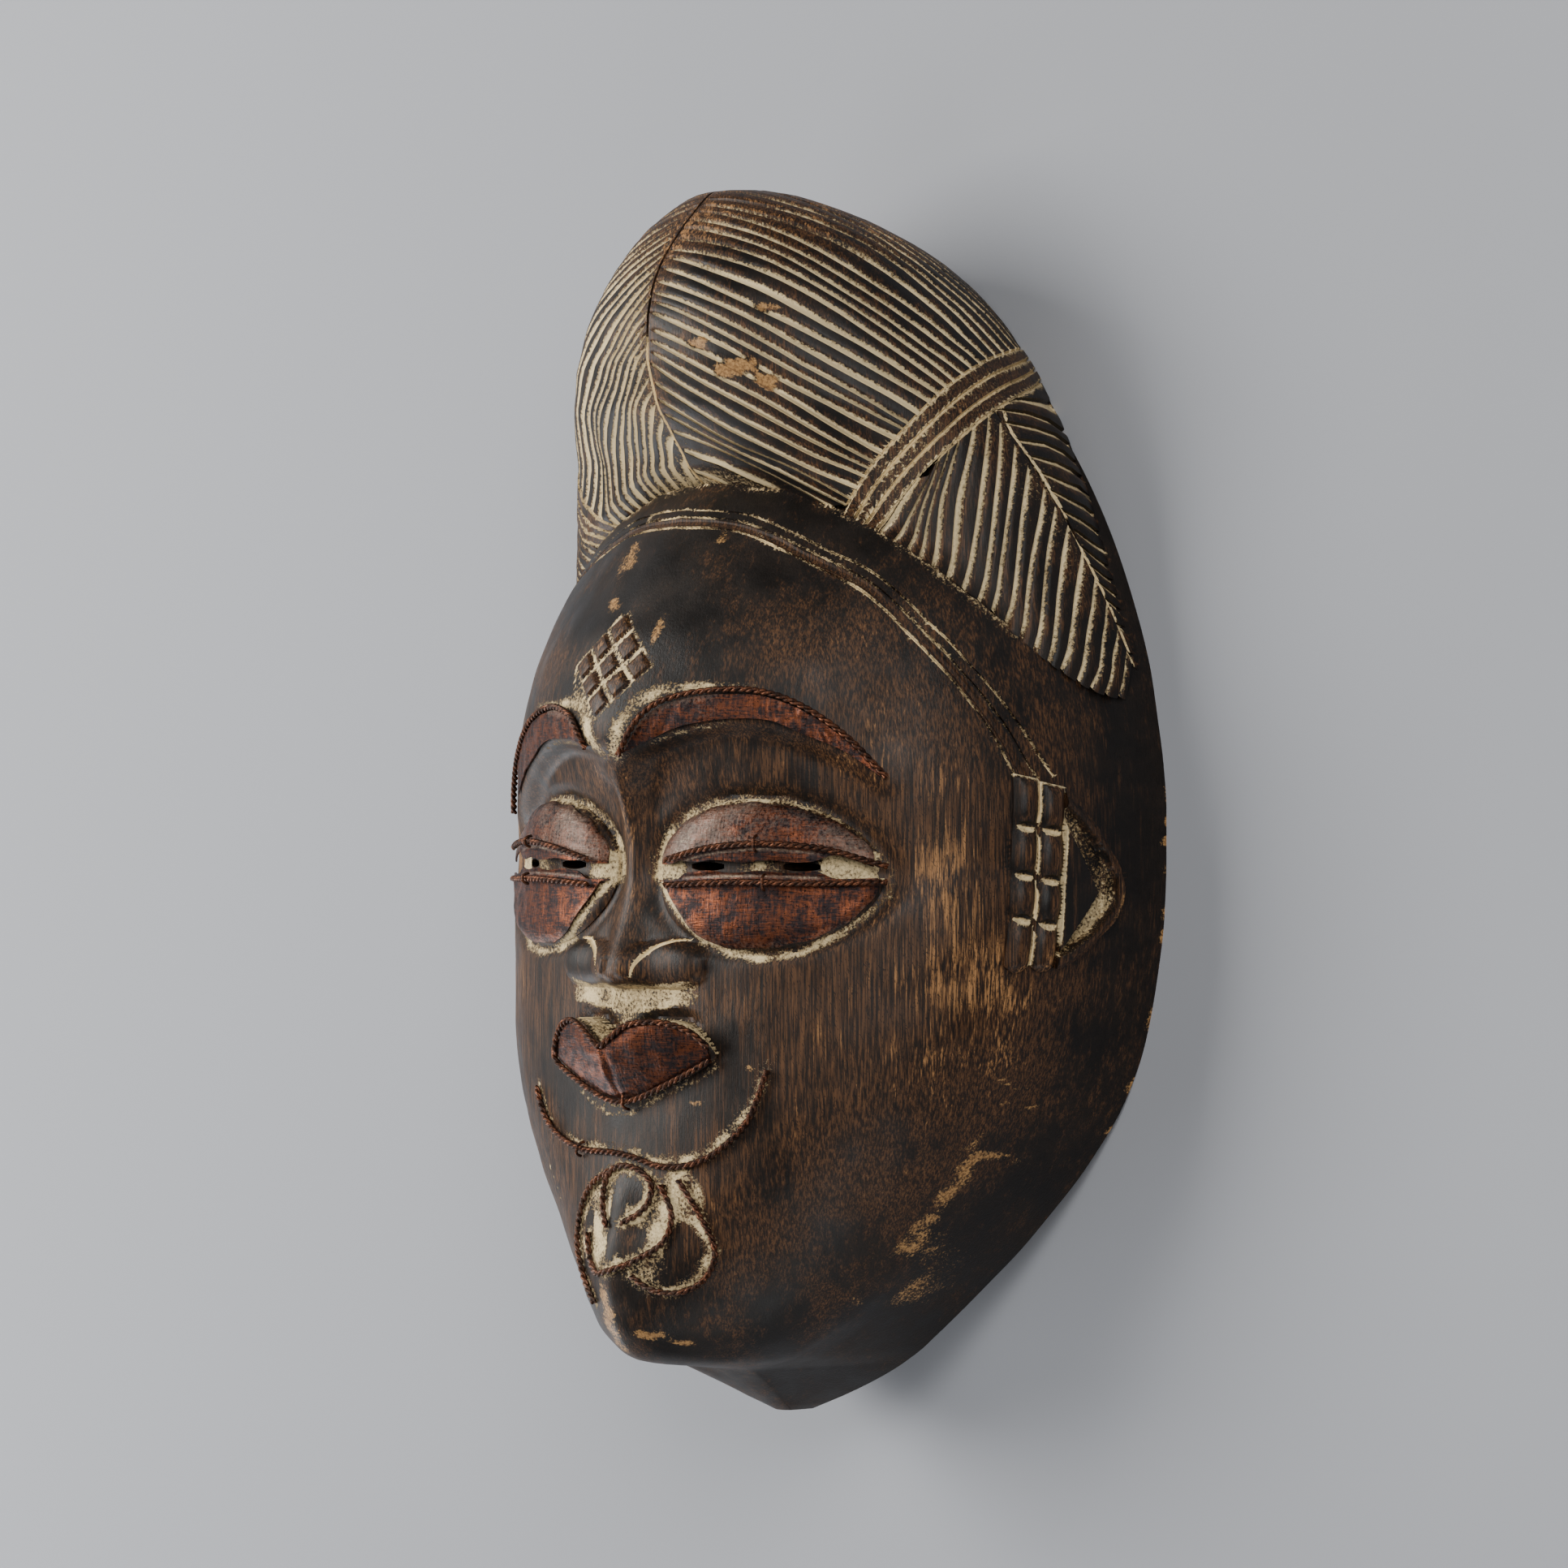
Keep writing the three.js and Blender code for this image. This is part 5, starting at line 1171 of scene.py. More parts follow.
cuts = [hollow()]
for side in (-1, 1):
    cuts += [slit(side, 20.5, 31), slit(side, 47, 55.5)]
    cuts += ear_notches(side)
cuts += [scored_line(*score, 70 + 3 * k) for k, score in enumerate(SCORES)]
NOSE_WING = np.array([[6, 119], [7.3, 122.6], [10.4, 126.2], [14.6, 128.3], [21, 129]])
cuts += [path_cut(NOSE_WING * [side, 1], 0.8, 0.9) for side in (-1, 1)]
mask = carve(mask, cuts, "DIFFERENCE")


def floor_block():
    """Everything behind the plane of the rim."""
    ring = np.array([[-130, -10], [130, -10], [130, 340], [-130, 340]], float)
    rings = np.stack([np.concatenate([ring, np.full((4, 1), z)], axis=1) for z in (-60.0, 0.0)])
    return new_object("floor_block", ring_solid(rings), {"inner": 0.6, "rub": 0.5})


mask = carve(mask, [floor_block()], "DIFFERENCE")


# %% [markdown]
# ## Finish the carved block
#
# The mask becomes one object that stands for the solid of the same shape. Smooth shading with
# sharp edges where faces turn by more than 38 degrees keeps chisel edges crisp.

# %% Carved mask
def place_piece(item, name, slot, *nodes, sharp=38):
    """Name a piece, shade it, hang it under the root, hide the solid it stands for and give it its finish
    slot.
    """
    item.name = name
    item.data.name = name
    item.data.shade_smooth()
    item.data.set_sharp_from_angle(angle=np.radians(sharp))
    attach(item, "root")
    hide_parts(*nodes)
    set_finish(item, slot)
    return item


def drop_flaps(mesh):
    """Delete faces that lie back to back on the same corners, which a cut can leave: they have
    the same lowest and highest corner, sum of corners and sum of their squares."""
    corner = np.empty(len(mesh.loops), np.int32)
    mesh.loops.foreach_get("vertex_index", corner)
    first = np.empty(len(mesh.polygons), np.int32)
    mesh.polygons.foreach_get("loop_start", first)
    corner = corner.astype(np.int64)
    key = np.stack([np.minimum.reduceat(corner, first), np.maximum.reduceat(corner, first),
                    np.add.reduceat(corner, first), np.add.reduceat(corner ** 2, first)], -1)
    _, which, count = np.unique(key, axis=0, return_inverse=True, return_counts=True)
    twins = np.flatnonzero(count[which.ravel()] > 1)
    work = bmesh.new()
    work.from_mesh(mesh)
    work.faces.ensure_lookup_table()
    bmesh.ops.delete(work, geom=[work.faces[i] for i in twins], context="FACES")
    work.to_mesh(mesh)
    work.free()
    print("flaps dropped:", len(twins), "faces")


drop_flaps(mask.data)
place_piece(mask, "carved_mask", "stained_wood", "mask_body")
mask.data.attributes.remove(mask.data.attributes["known"])
mask.data.calc_loop_triangles()
print("carved mask:", len(mask.data.loop_triangles), "triangles")


# %% [markdown]
# ## Copper sheet
#
# The sheets are thin beaten copper, cut with a knife, pressed over the carving and nailed.
# Cloth simulation would bend them too evenly; instead each sheet is the wood's own formula
# raised by a little, with dents and creases added, so it sits on the carving everywhere.

# %% Sheets on brows, lids and lips
SHEET = 0.4
GAP = 0.35


def copper_sheet(name, x, height, rest, seed, node, dust, crease=0.0):
    """Plate over a grid: the wood's lift plus a rest height, dented by crossed ripples. Its
    clay mark is the dust that lies on it."""
    flat = np.stack([x, height, 0 * x], -1)
    dent = 0.16 * ripple(flat, 6, seed) + 0.09 * ripple(flat * [1, 3, 1], 5, seed + 1) + crease
    base = wood_lift(x, height) + GAP + rest
    upper, _ = on_face(x, height, base + SHEET + dent)
    lower, _ = on_face(x, height, base + dent)
    dust = (dust + 0.15 * ripple(flat, 9, seed + 2)).ravel()
    item = new_object(name, sheet_solid(upper, lower), {"clay": np.concatenate([dust, dust])})
    return place_piece(item, name, "copper_sheet", node, sharp=50)


def brow_sheet(side, word):
    """Crescent between the two brow lines, cut a little unevenly."""
    start, stop = (6.2, 69.6) if side > 0 else (7.8, 61)
    x, v = np.meshgrid(side * np.linspace(start, stop, 90), np.linspace(0, 1, 9), indexing="ij")
    foot = line_at(x, BROW_FOOT, LEFT_BROW_FOOT) + 0.3 + 0.25 * np.sin(x / 3.1)
    top = line_at(x, BROW_TOP, LEFT_BROW_TOP) - 1
    height = foot + np.maximum(top - foot, 0.5) * v
    flat = np.stack([x, height, 0 * x], -1)
    crumple = 0.8 * ripple(flat, 2.8, 86) * hill(x - 56, 6) + 0.15 * ripple(flat, 3, 87)
    dust = 0.15 + 0.4 * hill(v - 1, 0.15) * (1 - ramp(20, 45, np.abs(x)))
    rest = 0.05 + 0.75 * (side > 0)
    return copper_sheet(f"brow_copper_{word}", x, height, rest, 81 + side, f"brow_strip_{word}",
                        dust, crumple)


def lid_sheet(side, word, upper):
    """Half lens from the channel to the slit; past the cord it runs on as a folded lip, to
    1.4 mm from the middle of the slit, with a line of clay beside the cord."""
    share, low = (0.8, 0.1) if upper else (0.88, 0.06)
    v = np.linspace(0, 1, 28) ** 1.4
    a, v = np.meshgrid(np.pi * (low + share * np.linspace(0, 1, 72)), v, indexing="ij")
    x = EYE_X - 0.93 * EYE_WIDTH * np.cos(a)
    way = 1 if upper else -1
    reach = 0.92 if upper else 0.93 * ramp(0.05, 1.25, a)
    rim = EYE_Y + way * reach * EYE_HEIGHT * np.sin(a) + 0.25 * np.sin(a * 17)
    cord = along(LID_TOP_WIRE if upper else LID_FOOT_WIRE, x)[..., 0]
    fold = ramp(17, 21, x) * (1 - ramp(55, 61, x))
    edge = SLIT_LINE + way * (1.4 + 0.3 * np.sin(x / 2.3 + way))
    inner = (1 - fold) * (cord - way * 1.2) + fold * edge
    height = inner + way * np.maximum(way * (rim - inner), 0.3) * v
    past = way * (cord - height)
    dust = 0.75 * hill(past - 1.6, 0.4) * fold
    if upper:
        cover = 0.55 - 0.3 * hill(np.hypot((x - 48) / 12, (height - 158) / 6), 0.8)
    else:
        cover = 0.05 + 0.3 * hill(v - 1, 0.1)
    dust = np.maximum(dust, cover * (past < 0.5))
    crease = -0.35 * hill(past - 1.6, 0.5) * fold
    level = "upper" if upper else "lower"
    return copper_sheet(f"eyelid_copper_{level}_{word}", side * x, height, 0.5, 91 + side + 4 * upper,
                        f"eye_{level}_plate_{word}", dust, crease)


def lip_sheet():
    """Heart-shaped plate over both lips, with a crease down its middle."""
    x, v = np.meshgrid(np.linspace(-26, 29.4, 84), np.linspace(0, 1, 22), indexing="ij")
    top, foot = lip_lines(x)
    height = foot + 0.5 + (top - foot - 1) * v
    flat = np.stack([x, height, 0 * x], -1)
    fold = -0.6 * hill(x - 0.6 - 0.8 * np.sin((height - 88) / 4), 0.8)
    crease = fold + 0.3 * ripple(flat * [0.6, 2, 1], 4, 105) * hill(x + 8, 10)
    dust = 0.12 + 0.35 * hill(np.minimum(v, 1 - v), 0.05)
    return copper_sheet("lip_copper", x, height, 0.3, 101, "lip_plate", dust, crease)


sheets = [lip_sheet()]
for side, word in ((-1, "left"), (1, "right")):
    sheets += [brow_sheet(side, word), lid_sheet(side, word, True), lid_sheet(side, word, False)]
print("copper sheets:", len(sheets))


# %% [markdown]
# ## Twisted copper wire
#
# Two thin wires twisted round each other make the cord that edges the copper. A bump texture
# on a plain tube would give a flat outline; real strands are cheap enough, so each cord is
# two tubes on a helix round the path, half a turn apart.

# %% Wires along the face
WIRE_RADIUS = 0.9
STRAND_RADIUS = 0.5
STRAND_OFFSET = 0.42
TWIST_PITCH = 4.4
# Clearance of a cord over the wood: beside a sheet, and straight on the wood.
SHEET_WIRE = GAP + SHEET + 0.65
WOOD_WIRE = 0.0


def wire_path(path, clearance):
    """Even points on the face, held off the highest wood within a millimetre and smoothed."""
    _, length = spline(path, 9)
    count = int(length / (TWIST_PITCH / 10)) + 1
    flat, _ = spline(path, count)
    x, height = flat.T
    around = [wood_lift(x + dx, height + dy) for dx, dy in ((0, 0), (1, 0), (-1, 0), (0, 1), (0, -1))]
    lift = np.max(around, axis=0)
    window = np.hanning(15)[1:-1] / np.hanning(15).sum()
    soft = np.convolve(np.pad(lift, 6, mode="edge"), window, mode="valid")
    points, out = on_face(x, height, np.maximum(soft, lift - 0.15) + clearance + WIRE_RADIUS)
    return points, out


def twisted_wire(name, path, clearance, node, seed):
    """Two strands at opposite ends of a turning diameter, pitch 4.4 mm, tightening unevenly."""
    points, out = wire_path(path, clearance)
    run = unit(np.gradient(points, axis=0))
    wide = unit(np.cross(run, out))
    tall = np.cross(wide, run)
    rng = np.random.default_rng(seed)
    gone = np.concatenate([[0], np.linalg.norm(np.diff(points, axis=0), axis=1).cumsum()])
    angle = 2 * np.pi * gone / TWIST_PITCH + 0.5 * np.sin(gone / 9 + rng.uniform(0, 6)) + rng.uniform(0, 6)
    parts, faces, shift = [], [], 0
    for half in (0, np.pi):
        turn = (angle + half)[:, None]
        strand = points + STRAND_OFFSET * (np.cos(turn) * wide + np.sin(turn) * tall)
        ring_points, ring_faces = ring_solid(tube(strand, out, STRAND_RADIUS, STRAND_RADIUS, sides=8))
        parts.append(ring_points)
        faces += [[corner + shift for corner in face] for face in ring_faces]
        shift += len(ring_points)
    clogged = np.repeat(np.clip(0.6 * clay_on_face(points[:, 0], points[:, 1]), 0, 0.36), 8)
    item = new_object(name, (np.concatenate(parts), faces), {"clay": np.tile(clogged, 2)})
    return place_piece(item, name, "copper_wire", node, sharp=60)


LIP_TOP_CORD = np.array([[-26.4, 97.8], [-25, 100.6], [-21.8, 104.2], [-17.6, 106.6], [-13, 107.1],
                         [-8.2, 105.4], [-4, 103], [-0.5, 100.8], [3.6, 103.2], [8.9, 106.6], [15, 107.6],
                         [21, 107], [26.2, 104.8], [29.9, 101.2]])
LIP_FOOT_CORD = np.array([[-25.4, 100.8], [-27.3, 97.6], [-26.4, 95], [-19.8, 91.8], [-11.3, 88.4],
                          [-4, 86.2], [2, 85.8], [8.3, 87.4], [16, 90.6], [22.4, 93.6], [29.8, 97.6]])
CHIN_CORDS = (("chin_inner", CHIN_INNER), ("chin_middle", CHIN_MIDDLE), ("chin_outer", CHIN_OUTER),
              ("chin_far", CHIN_FAR))
CHIN_SHIFT = [0.8, 0]
wires = []
for side, word, brow, shown in ((-1, "left", LEFT_BROW_TOP, 24), (1, "right", BROW_TOP, 30)):
    flip = [side, 1]
    over_wood = WOOD_WIRE + 0.7 + 0.6 * side
    wires.append(twisted_wire(f"brow_cord_{word}", brow * flip, over_wood, f"brow_wire_{word}", 111 + side))
    for level, line, seed in (("upper", LID_TOP_WIRE, 121), ("lower", LID_FOOT_WIRE, 131)):
        path = spline(line, 30)[0][:shown] * flip
        wires.append(twisted_wire(f"{level}_lid_cord_{word}", path, SHEET_WIRE + 0.6,
                                  f"eye_{level}_wire_{word}", seed + side))
wires.append(twisted_wire("upper_lip_cord", LIP_TOP_CORD, 0.5, "upper_lip_wire", 141))
wires.append(twisted_wire("lower_lip_cord", LIP_FOOT_CORD, 0.6, "lower_lip_wire", 142))
wires.append(twisted_wire("mouth_arc_cord", MOUTH_ARC, WOOD_WIRE, "mouth_arc_wire", 164))
for name, path in CHIN_CORDS:
    wires.append(twisted_wire(f"{name}_cord", path + CHIN_SHIFT, WOOD_WIRE, f"{name}_wire", 155 + len(name)))
print("twisted wires:", len(wires))


# %% [markdown]
# ## Staples
#
# Short bent pins hold the cords. Each one rises out of the wood, crosses over the cord and
# goes back in; seven points and a smooth curve through them are enough.

# %% Staples over the wires
STAPLE_RADIUS = 0.4


def staple(name, x, height, turn, clearance, reach, node):
    """Round wire over the cord, with its feet on both sides of it."""
    u = np.array([-1, -0.8, -0.45, 0, 0.45, 0.8, 1])
    px = x + np.cos(turn) * reach * u
    py = height + np.sin(turn) * reach * u
    top = wood_lift(np.array(x, float), np.array(height, float)) + clearance + 2 * WIRE_RADIUS + 0.5
    foot = wood_lift(px, py) + clearance + 0.5
    rise = np.clip(1.3 * (1 - np.abs(u) ** 3), 0, 1)
    points, out = on_face(px, py, foot + (top - foot) * rise)
    fine, _ = spline(points, 22)
    side = np.repeat(out[3:4], 22, axis=0)
    item = new_object(name, ring_solid(tube(fine, side, STAPLE_RADIUS, STAPLE_RADIUS, sides=10)))
    return place_piece(item, name, "copper_wire", node, sharp=60)


upright = np.pi / 2
staples = []
for side, word in ((-1, "left"), (1, "right")):
    for level, line, x in (("upper", LID_TOP_WIRE, 42), ("lower", LID_FOOT_WIRE, 44)):
        staples.append(staple(f"{level}_lid_staple_{word}", side * x, float(along(line, x)[0]), upright,
                              SHEET_WIRE + 0.6, 1.8 + 0.3 * side, f"eye_{level}_staple_{word}"))
staples.append(staple("lip_pin", 2.5, 86, upright, 0.8, 2.1, "lip_staple"))
staples.append(staple("mouth_arc_pin", -17.2, 72.6, 1.2, WOOD_WIRE, 2.1, "mouth_arc_staple"))
print("staples:", len(staples))


# %% [markdown]
# ## Materials
#
# Each finish starts from what it is. A hex colour read off a paint chart is sRGB, and shaders
# want linear light, so one function turns it. Another adds a node with its settings and links.

# %% Material helpers
def linear(hex_colour):
    """sRGB hex to linear RGBA: below 0.04045 divide by 12.92, else ((c + 0.055) / 1.055)^2.4."""
    c = np.array([int(hex_colour[i:i + 2], 16) for i in (1, 3, 5)]) / 255
    c = np.where(c <= 0.04045, c / 12.92, ((c + 0.055) / 1.055) ** 2.4)
    return (*c.tolist(), 1.0)


def add_node(tree, kind, settings=None, links=None):
    """One node: settings name its sockets or properties, links feed its sockets."""
    node = tree.nodes.new(kind)
    for key, value in (settings or {}).items():
        if isinstance(key, int) or key in node.inputs:
            node.inputs[key].default_value = value
        else:
            setattr(node, key, value)
    for key, source in (links or {}).items():
        tree.links.new(source, node.inputs[key])
    return node


def new_material(name):
    """Empty node material with its shader and millimetre coordinates."""
    made = bpy.data.materials.new(name)
    made.use_nodes = True
    tree = made.node_tree
    shader = tree.nodes["Principled BSDF"]
    place = add_node(tree, "ShaderNodeTexCoord").outputs["Object"]
    return made, tree, shader, place


# %% [markdown]
# ### Hardwood, carved and blackened with smoke and oil
#
# Close-grained hardwood under a thin black crust. The eye sees near-black with a waxy sheen,
# brown streaks along the grain where the crust is thin, tan where it is chipped, and chalky
# clay in the cuts. The grain runs the length of the mask: fibres 0.5 mm wide and 18 mm
# long. The four marks carry the pattern of wear, and noise frays their borders.

# %% Wood finish
def blackened_wood():
    """Black crust over brown wood over tan wood, with clay on top, mixed by the marks."""
    made, tree, shader, place = new_material("Hardwood, carved and smoke-blackened")
    marks = {m: add_node(tree, "ShaderNodeAttribute", {"attribute_name": m}).outputs["Fac"] for m in MARKS}
    fibre = add_node(tree, "ShaderNodeMapping", {"Scale": (1000 / 0.5, 1000 / 18, 1000 / 0.5)},
                     {"Vector": place})
    grain = add_node(tree, "ShaderNodeTexNoise", {"Scale": 1.0, "Detail": 4, "Roughness": 0.6},
                     {"Vector": fibre.outputs[0]})
    short = add_node(tree, "ShaderNodeMapping", {"Scale": (1000 / 0.45, 1000 / 4, 1000 / 0.45)},
                     {"Vector": place})
    pore = add_node(tree, "ShaderNodeTexNoise", {"Scale": 1.0, "Detail": 2, "Roughness": 0.6},
                    {"Vector": short.outputs[0]})
    streak = add_node(tree, "ShaderNodeMapping", {"Scale": (1000 / 2.2, 1000 / 24, 1000 / 2.2)},
                      {"Vector": place})
    board = add_node(tree, "ShaderNodeTexNoise", {"Scale": 1.0, "Detail": 4, "Roughness": 0.6},
                     {"Vector": streak.outputs[0]})
    knife = add_node(tree, "ShaderNodeMapping", {"vector_type": "TEXTURE", "Rotation": (0.0, 0.0, 0.5),
                                                 "Scale": (0.3 * MM, 13 * MM, 0.3 * MM)}, {"Vector": place})
    nick = add_node(tree, "ShaderNodeTexNoise", {"Scale": 1.0, "Detail": 1}, {"Vector": knife.outputs[0]})
    cloud = add_node(tree, "ShaderNodeTexNoise", {"Scale": 1000 / 18, "Detail": 6, "Roughness": 0.65},
                     {"Vector": place})
    grit = add_node(tree, "ShaderNodeTexNoise", {"Scale": 1000 / 0.8, "Detail": 4, "Roughness": 0.75},
                    {"Vector": place})

    def blend(kind, a, b, third=0.0):
        """Arithmetic on a value and a number, or on two values."""
        number = isinstance(b, float)
        settings = {"operation": kind, 1: b if number else 0.5, 2: third}
        return add_node(tree, "ShaderNodeMath", settings, {0: a} if number else {0: a, 1: b}).outputs[0]

    def step(low, high, value):
        """Smooth step from 0 to 1 between two levels."""
        settings = {"From Min": low, "From Max": high, "interpolation_type": "SMOOTHSTEP"}
        return add_node(tree, "ShaderNodeMapRange", settings, {"Value": value}).outputs[0]

    def mix(share, a, b):
        settings = {"data_type": "RGBA", "clamp_factor": True}
        links = {0: share}
        for socket, colour in ((6, a), (7, b)):
            if isinstance(colour, tuple):
                settings[socket] = colour
            else:
                links[socket] = colour
        return add_node(tree, "ShaderNodeMix", settings, links).outputs[2]

    tone = mix(step(0.35, 0.7, cloud.outputs["Fac"]), linear("#110d0b"), linear("#211812"))
    brown = mix(step(0.38, 0.64, grain.outputs["Fac"]), linear("#20140d"), linear("#583b24"))
    rub_level = blend("ADD", marks["rub"], blend("MULTIPLY_ADD", board.outputs["Fac"], 1.5, -0.75))
    rub_level = blend("ADD", rub_level, blend("MULTIPLY_ADD", cloud.outputs["Fac"], 1.0, -0.5))
    rub_level = blend("ADD", rub_level, blend("MULTIPLY_ADD", grain.outputs["Fac"], 0.6, -0.3))
    surface = mix(step(0.15, 0.8, rub_level), tone, brown)
    light = blend("ADD", rub_level, blend("MULTIPLY_ADD", grain.outputs["Fac"], 1.3, -0.65))
    surface = mix(step(1.02, 1.58, light), surface, linear("#a3764a"))
    surface = mix(blend("MULTIPLY", step(0.55, 0.64, pore.outputs["Fac"]), 0.7), surface, linear("#0e0906"))
    surface = mix(blend("MULTIPLY", step(0.62, 0.68, nick.outputs["Fac"]), 0.8), surface, linear("#0e0906"))
    tan = mix(step(0.35, 0.65, grit.outputs["Fac"]), linear("#6b4a2a"), linear("#a98252"))
    bare_level = blend("ADD", marks["bare"], blend("MULTIPLY_ADD", grit.outputs["Fac"], 1.5, -0.75))
    surface = mix(step(0.45, 0.75, bare_level), surface, tan)
    inner_tone = mix(step(0.3, 0.7, board.outputs["Fac"]), linear("#3b2a1d"), linear("#5e442f"))
    surface = mix(marks["inner"], surface, inner_tone)
    clay_level = blend("ADD", marks["clay"], blend("MULTIPLY_ADD", grit.outputs["Fac"], 1.9, -0.95))
    clay_level = blend("ADD", clay_level, blend("MULTIPLY_ADD", cloud.outputs["Fac"], 0.5, -0.25))
    clay_share = step(0.38, 0.54, clay_level)
    chalk = blend("ADD", marks["clay"], blend("MULTIPLY_ADD", grit.outputs["Fac"], 1.2, -0.6))
    chalk = blend("ADD", chalk, blend("MULTIPLY_ADD", cloud.outputs["Fac"], 0.8, -0.4))
    clay_tone = mix(step(0.3, 0.92, chalk), linear("#5c4324"), linear("#e4cea0"))
    surface = mix(clay_share, surface, clay_tone)
    tree.links.new(surface, shader.inputs["Base Color"])

    gloss = add_node(tree, "ShaderNodeMapRange",
                     {"From Min": 0.3, "From Max": 0.7, "To Min": 0.4, "To Max": 0.6},
                     {"Value": cloud.outputs["Fac"]}).outputs[0]
    rough = blend("MAXIMUM", gloss, blend("MULTIPLY", clay_share, 0.9))
    tree.links.new(rough, shader.inputs["Roughness"])
    shader.inputs["Specular IOR Level"].default_value = 0.26
    height = blend("MULTIPLY_ADD", pore.outputs["Fac"], -0.4, 0.4)
    height = blend("ADD", height, blend("MULTIPLY", grit.outputs["Fac"], 0.35))
    height = blend("ADD", height, blend("MULTIPLY", clay_share, 0.3))
    bump = add_node(tree, "ShaderNodeBump", {"Strength": 0.5, "Distance": 0.35 * MM}, {"Height": height})
    tree.links.new(bump.outputs[0], shader.inputs["Normal"])
    return made


# %% [markdown]
# ### Copper sheet, hand cut and tarnished
#
# Beaten copper goes red-brown and then violet-grey where it isn't touched. The eye sees a
# dull metal with warm patches, dark specks and fine scratches. Copper keeps its metal
# reflection, with roughness from 0.4 on the warm patches to 0.62 in the tarnish.

# %% Copper finishes
def tarnished_copper(name, warm, dull, patch, scratch_depth):
    """Warm copper and dull tarnish mixed by blotches of the given size in millimetres."""
    made, tree, shader, place = new_material(name)
    dust = add_node(tree, "ShaderNodeAttribute", {"attribute_name": "clay"}).outputs["Fac"]
    blot = add_node(tree, "ShaderNodeTexNoise", {"Scale": 1000 / patch, "Detail": 7, "Roughness": 0.68},
                    {"Vector": place})
    speck = add_node(tree, "ShaderNodeTexNoise", {"Scale": 1000 / 0.8, "Detail": 4, "Roughness": 0.7},
                     {"Vector": place})
    level = add_node(tree, "ShaderNodeMapping", {"Scale": (1000 / 3.5, 1000 / 0.4, 1000 / 3.5)},
                     {"Vector": place})
    scratch = add_node(tree, "ShaderNodeTexNoise", {"Scale": 1.0, "Detail": 3}, {"Vector": level.outputs[0]})
    upright = add_node(tree, "ShaderNodeMapping", {"Scale": (1000 / 0.7, 1000 / 5, 1000 / 0.7)},
                       {"Vector": place})
    hatch = add_node(tree, "ShaderNodeTexNoise", {"Scale": 1.0, "Detail": 3}, {"Vector": upright.outputs[0]})
    crossed = add_node(tree, "ShaderNodeMath", {"operation": "ADD"},
                       {0: scratch.outputs["Fac"], 1: hatch.outputs["Fac"]})
    uneven = add_node(tree, "ShaderNodeMath", {"operation": "MULTIPLY_ADD", 1: 0.5},
                      {0: crossed.outputs[0], 2: blot.outputs["Fac"]})
    share = add_node(tree, "ShaderNodeMapRange", {"From Min": 0.9, "From Max": 1.14},
                     {"Value": uneven.outputs[0]})
    colour = add_node(tree, "ShaderNodeMix", {"data_type": "RGBA", 6: linear(dull), 7: linear(warm)},
                      {0: share.outputs[0]})
    dark = add_node(tree, "ShaderNodeMapRange", {"From Min": 0.36, "From Max": 0.46},
                    {"Value": speck.outputs["Fac"]})
    spotted = add_node(tree, "ShaderNodeMix", {"data_type": "RGBA", 6: linear("#171112")},
                       {0: dark.outputs[0], 7: colour.outputs[2]})
    frayed = add_node(tree, "ShaderNodeMath", {"operation": "MULTIPLY_ADD", 1: 1.2},
                      {0: speck.outputs["Fac"], 2: dust})
    cover = add_node(tree, "ShaderNodeMapRange", {"From Min": 0.88, "From Max": 1.4},
                     {"Value": frayed.outputs[0]})
    bright = add_node(tree, "ShaderNodeMapRange", {"From Min": 1.28, "From Max": 1.7},
                      {"Value": frayed.outputs[0]})
    powder = add_node(tree, "ShaderNodeMix",
                      {"data_type": "RGBA", 6: linear("#665143"), 7: linear("#c0ab88")},
                      {0: bright.outputs[0]})
    dusted = add_node(tree, "ShaderNodeMix", {"data_type": "RGBA"},
                      {0: cover.outputs[0], 6: spotted.outputs[2], 7: powder.outputs[2]})
    tree.links.new(dusted.outputs[2], shader.inputs["Base Color"])
    metal = add_node(tree, "ShaderNodeMapRange", {"To Min": 0.85, "To Max": 0.0}, {"Value": cover.outputs[0]})
    tree.links.new(metal.outputs[0], shader.inputs["Metallic"])
    rough = add_node(tree, "ShaderNodeMapRange",
                     {"From Min": 0.35, "From Max": 0.65, "To Min": 0.62, "To Max": 0.4},
                     {"Value": blot.outputs["Fac"]})
    tree.links.new(rough.outputs[0], shader.inputs["Roughness"])
    bump = add_node(tree, "ShaderNodeBump", {"Strength": 0.6, "Distance": scratch_depth * MM},
                    {"Height": crossed.outputs[0]})
    tree.links.new(bump.outputs[0], shader.inputs["Normal"])
    return made


wood_finish = blackened_wood()
sheet_finish = tarnished_copper("Copper sheet, beaten and tarnished", "#6c3c26", "#2c2425", 5, 0.25)
wire_finish = tarnished_copper("Copper wire, twisted and tarnished", "#70452f", "#33231c", 4, 0.06)
FINISHES = {"stained_wood": wood_finish, "copper_sheet": sheet_finish}
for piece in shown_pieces():
    finish = FINISHES.get(piece.get("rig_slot"), wire_finish)
    if piece.type == "MESH" and not piece.hide_render:
        piece.data.materials.clear()
        piece.data.materials.append(finish)

# %% [markdown]
# ## Floor, light and camera
#
# The mask lies on a pale floor and the camera looks down on it from its left, 45 degrees
# round. The key is a large soft light from the left of the picture, with a weaker one in
# front. A low one does what a pale table does, and the last lifts the shaded chin.

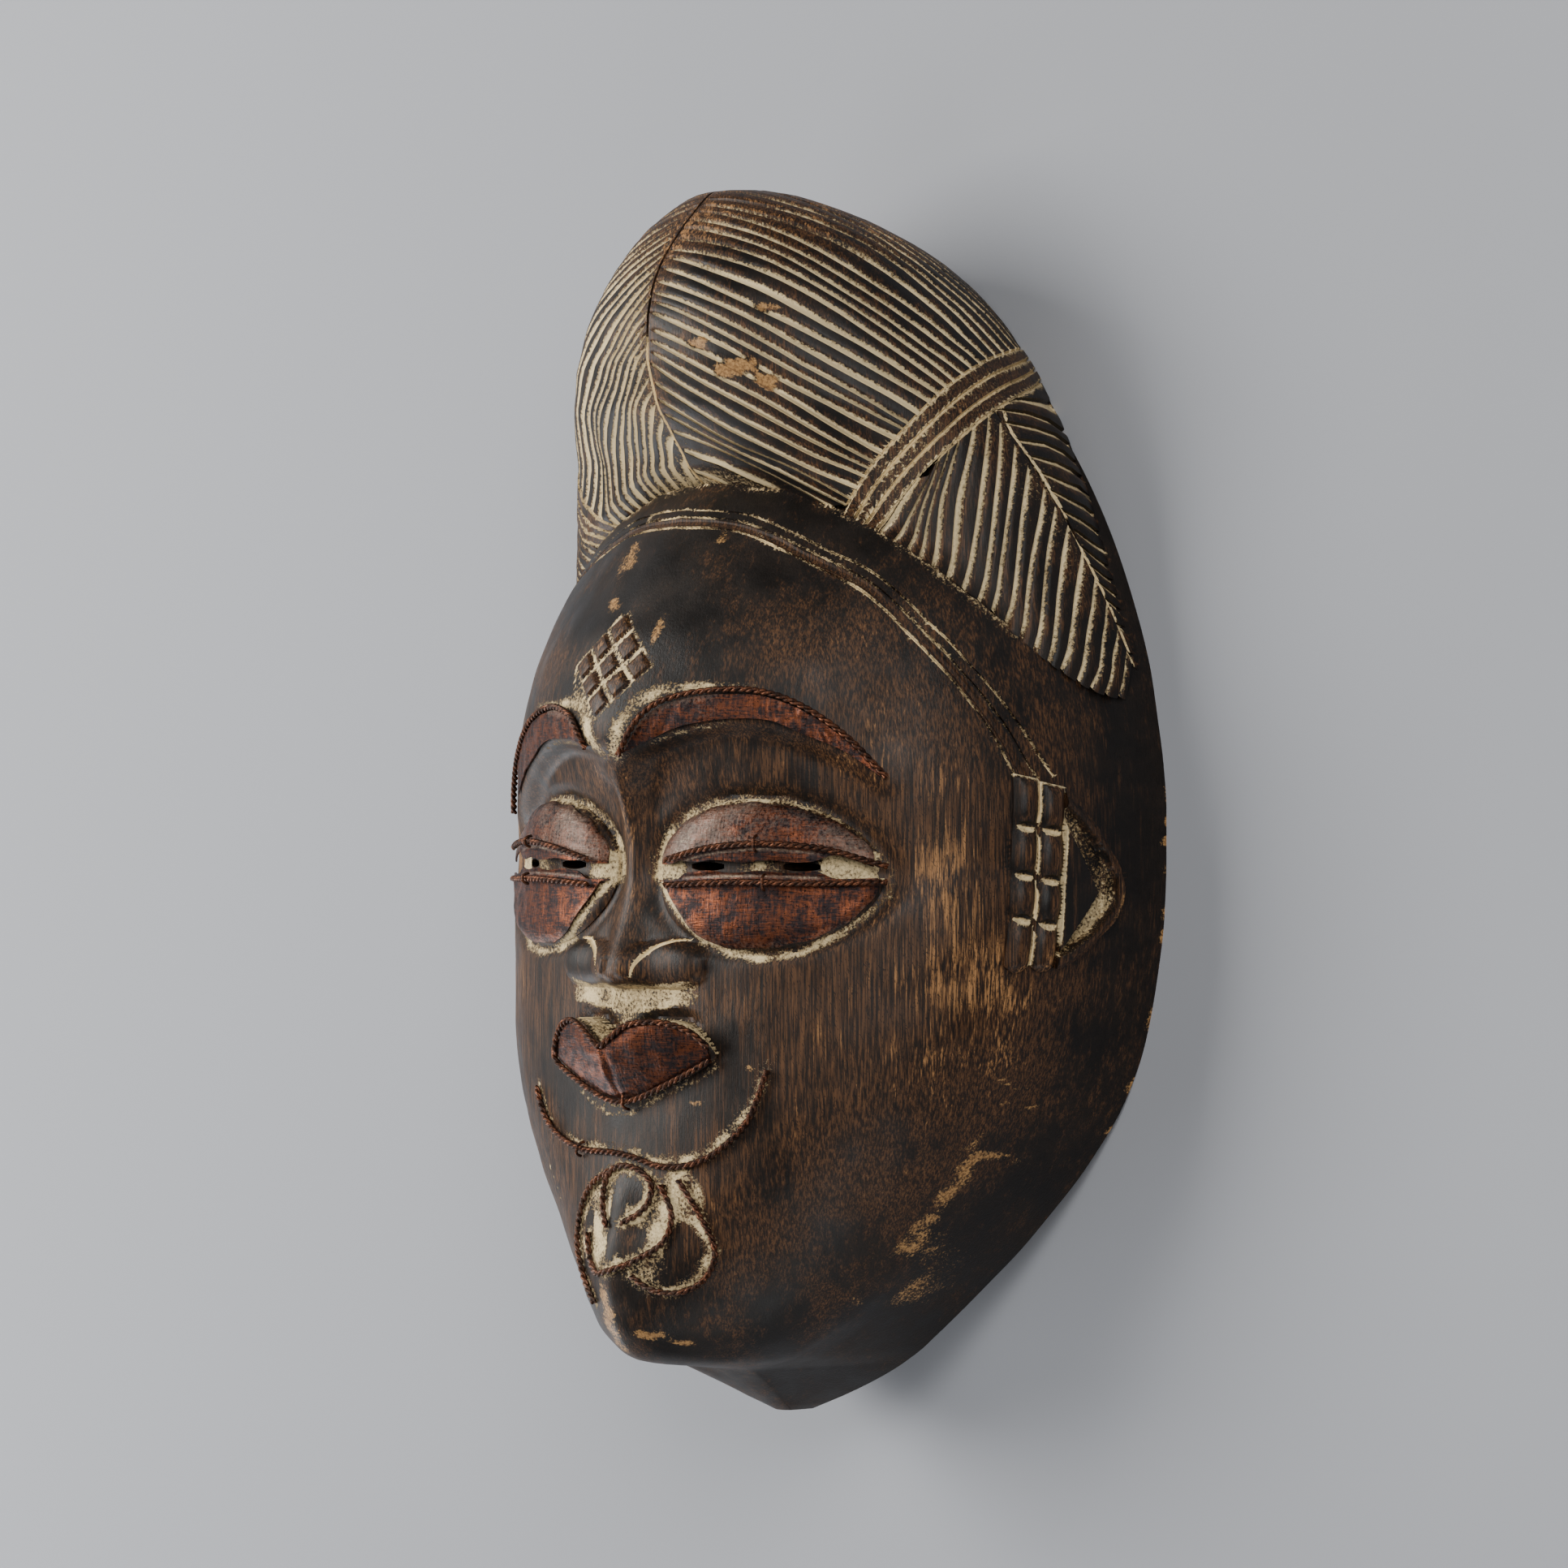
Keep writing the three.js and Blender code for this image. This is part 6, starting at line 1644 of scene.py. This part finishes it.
# %% Floor
floor_mesh = bpy.data.meshes.new("floor")
floor_mesh.from_pydata([(-4, -4, 0), (4, -4, 0), (4, 4, 0), (-4, 4, 0)], [], [(0, 1, 2, 3)])
floor = bpy.data.objects.new("floor", floor_mesh)
bpy.context.scene.collection.objects.link(floor)
floor_finish, _, floor_shader, _ = new_material("Paper backdrop, matt and pale")
floor_shader.inputs["Base Color"].default_value = linear("#9d9fa5")
floor_shader.inputs["Roughness"].default_value = 0.9
floor_mesh.materials.append(floor_finish)


# %% Lights
def look_from(item, place, target, up=(0, 1, 0)):
    """Turn a light or camera at a place so that it looks at the target with +Y upwards."""
    place, target, up = (np.array(v, float) for v in (place, target, up))
    back = unit(place - target)
    right = unit(np.cross(up, back))
    axes = np.stack([right, np.cross(back, right), back], -1)
    matrix = np.eye(4)
    matrix[:3, :3] = axes
    matrix[:3, 3] = place
    item.matrix_world = Matrix(matrix.tolist())


def soft_light(name, place, size, power, colour):
    """Square area light that looks at the mask."""
    data = bpy.data.lights.new(name, "AREA")
    data.size = size
    data.energy = power
    data.color = colour
    item = bpy.data.objects.new(name, data)
    bpy.context.scene.collection.objects.link(item)
    look_from(item, place, (0, 0, 0.06))
    return item


soft_light("key", (-0.85, 0.3, 0.98), 0.8, 25, (1.0, 0.985, 0.95))
soft_light("front", (0.8, 0.42, 0.95), 0.6, 11, (1.0, 0.99, 0.97))
soft_light("table", (-0.82, -0.62, 0.3), 0.5, 6.5, (0.95, 0.97, 1.0))
soft_light("fill", (0.5, -0.95, 0.5), 0.6, 4, (1.0, 1.0, 1.0))
world = bpy.data.worlds.new("studio")
bpy.context.scene.world = world
world.use_nodes = True
world.node_tree.nodes["Background"].inputs[0].default_value = (0.9, 0.95, 1.0, 1)
world.node_tree.nodes["Background"].inputs[1].default_value = 0.07

# %% Camera
# The camera looks at the middle of the outline from 1.6 m, 45 degrees round.
CAMERA_DISTANCE = 1.6
camera_target = np.array([7.49, 5.0, 47.5]) * MM
camera_back = np.array([1, 0, 1]) / np.sqrt(2)
camera_data = bpy.data.cameras.new("camera")
camera_data.lens = 136
camera = bpy.data.objects.new("camera", camera_data)
bpy.context.scene.collection.objects.link(camera)
look_from(camera, camera_target + CAMERA_DISTANCE * camera_back, camera_target)
bpy.context.scene.camera = camera
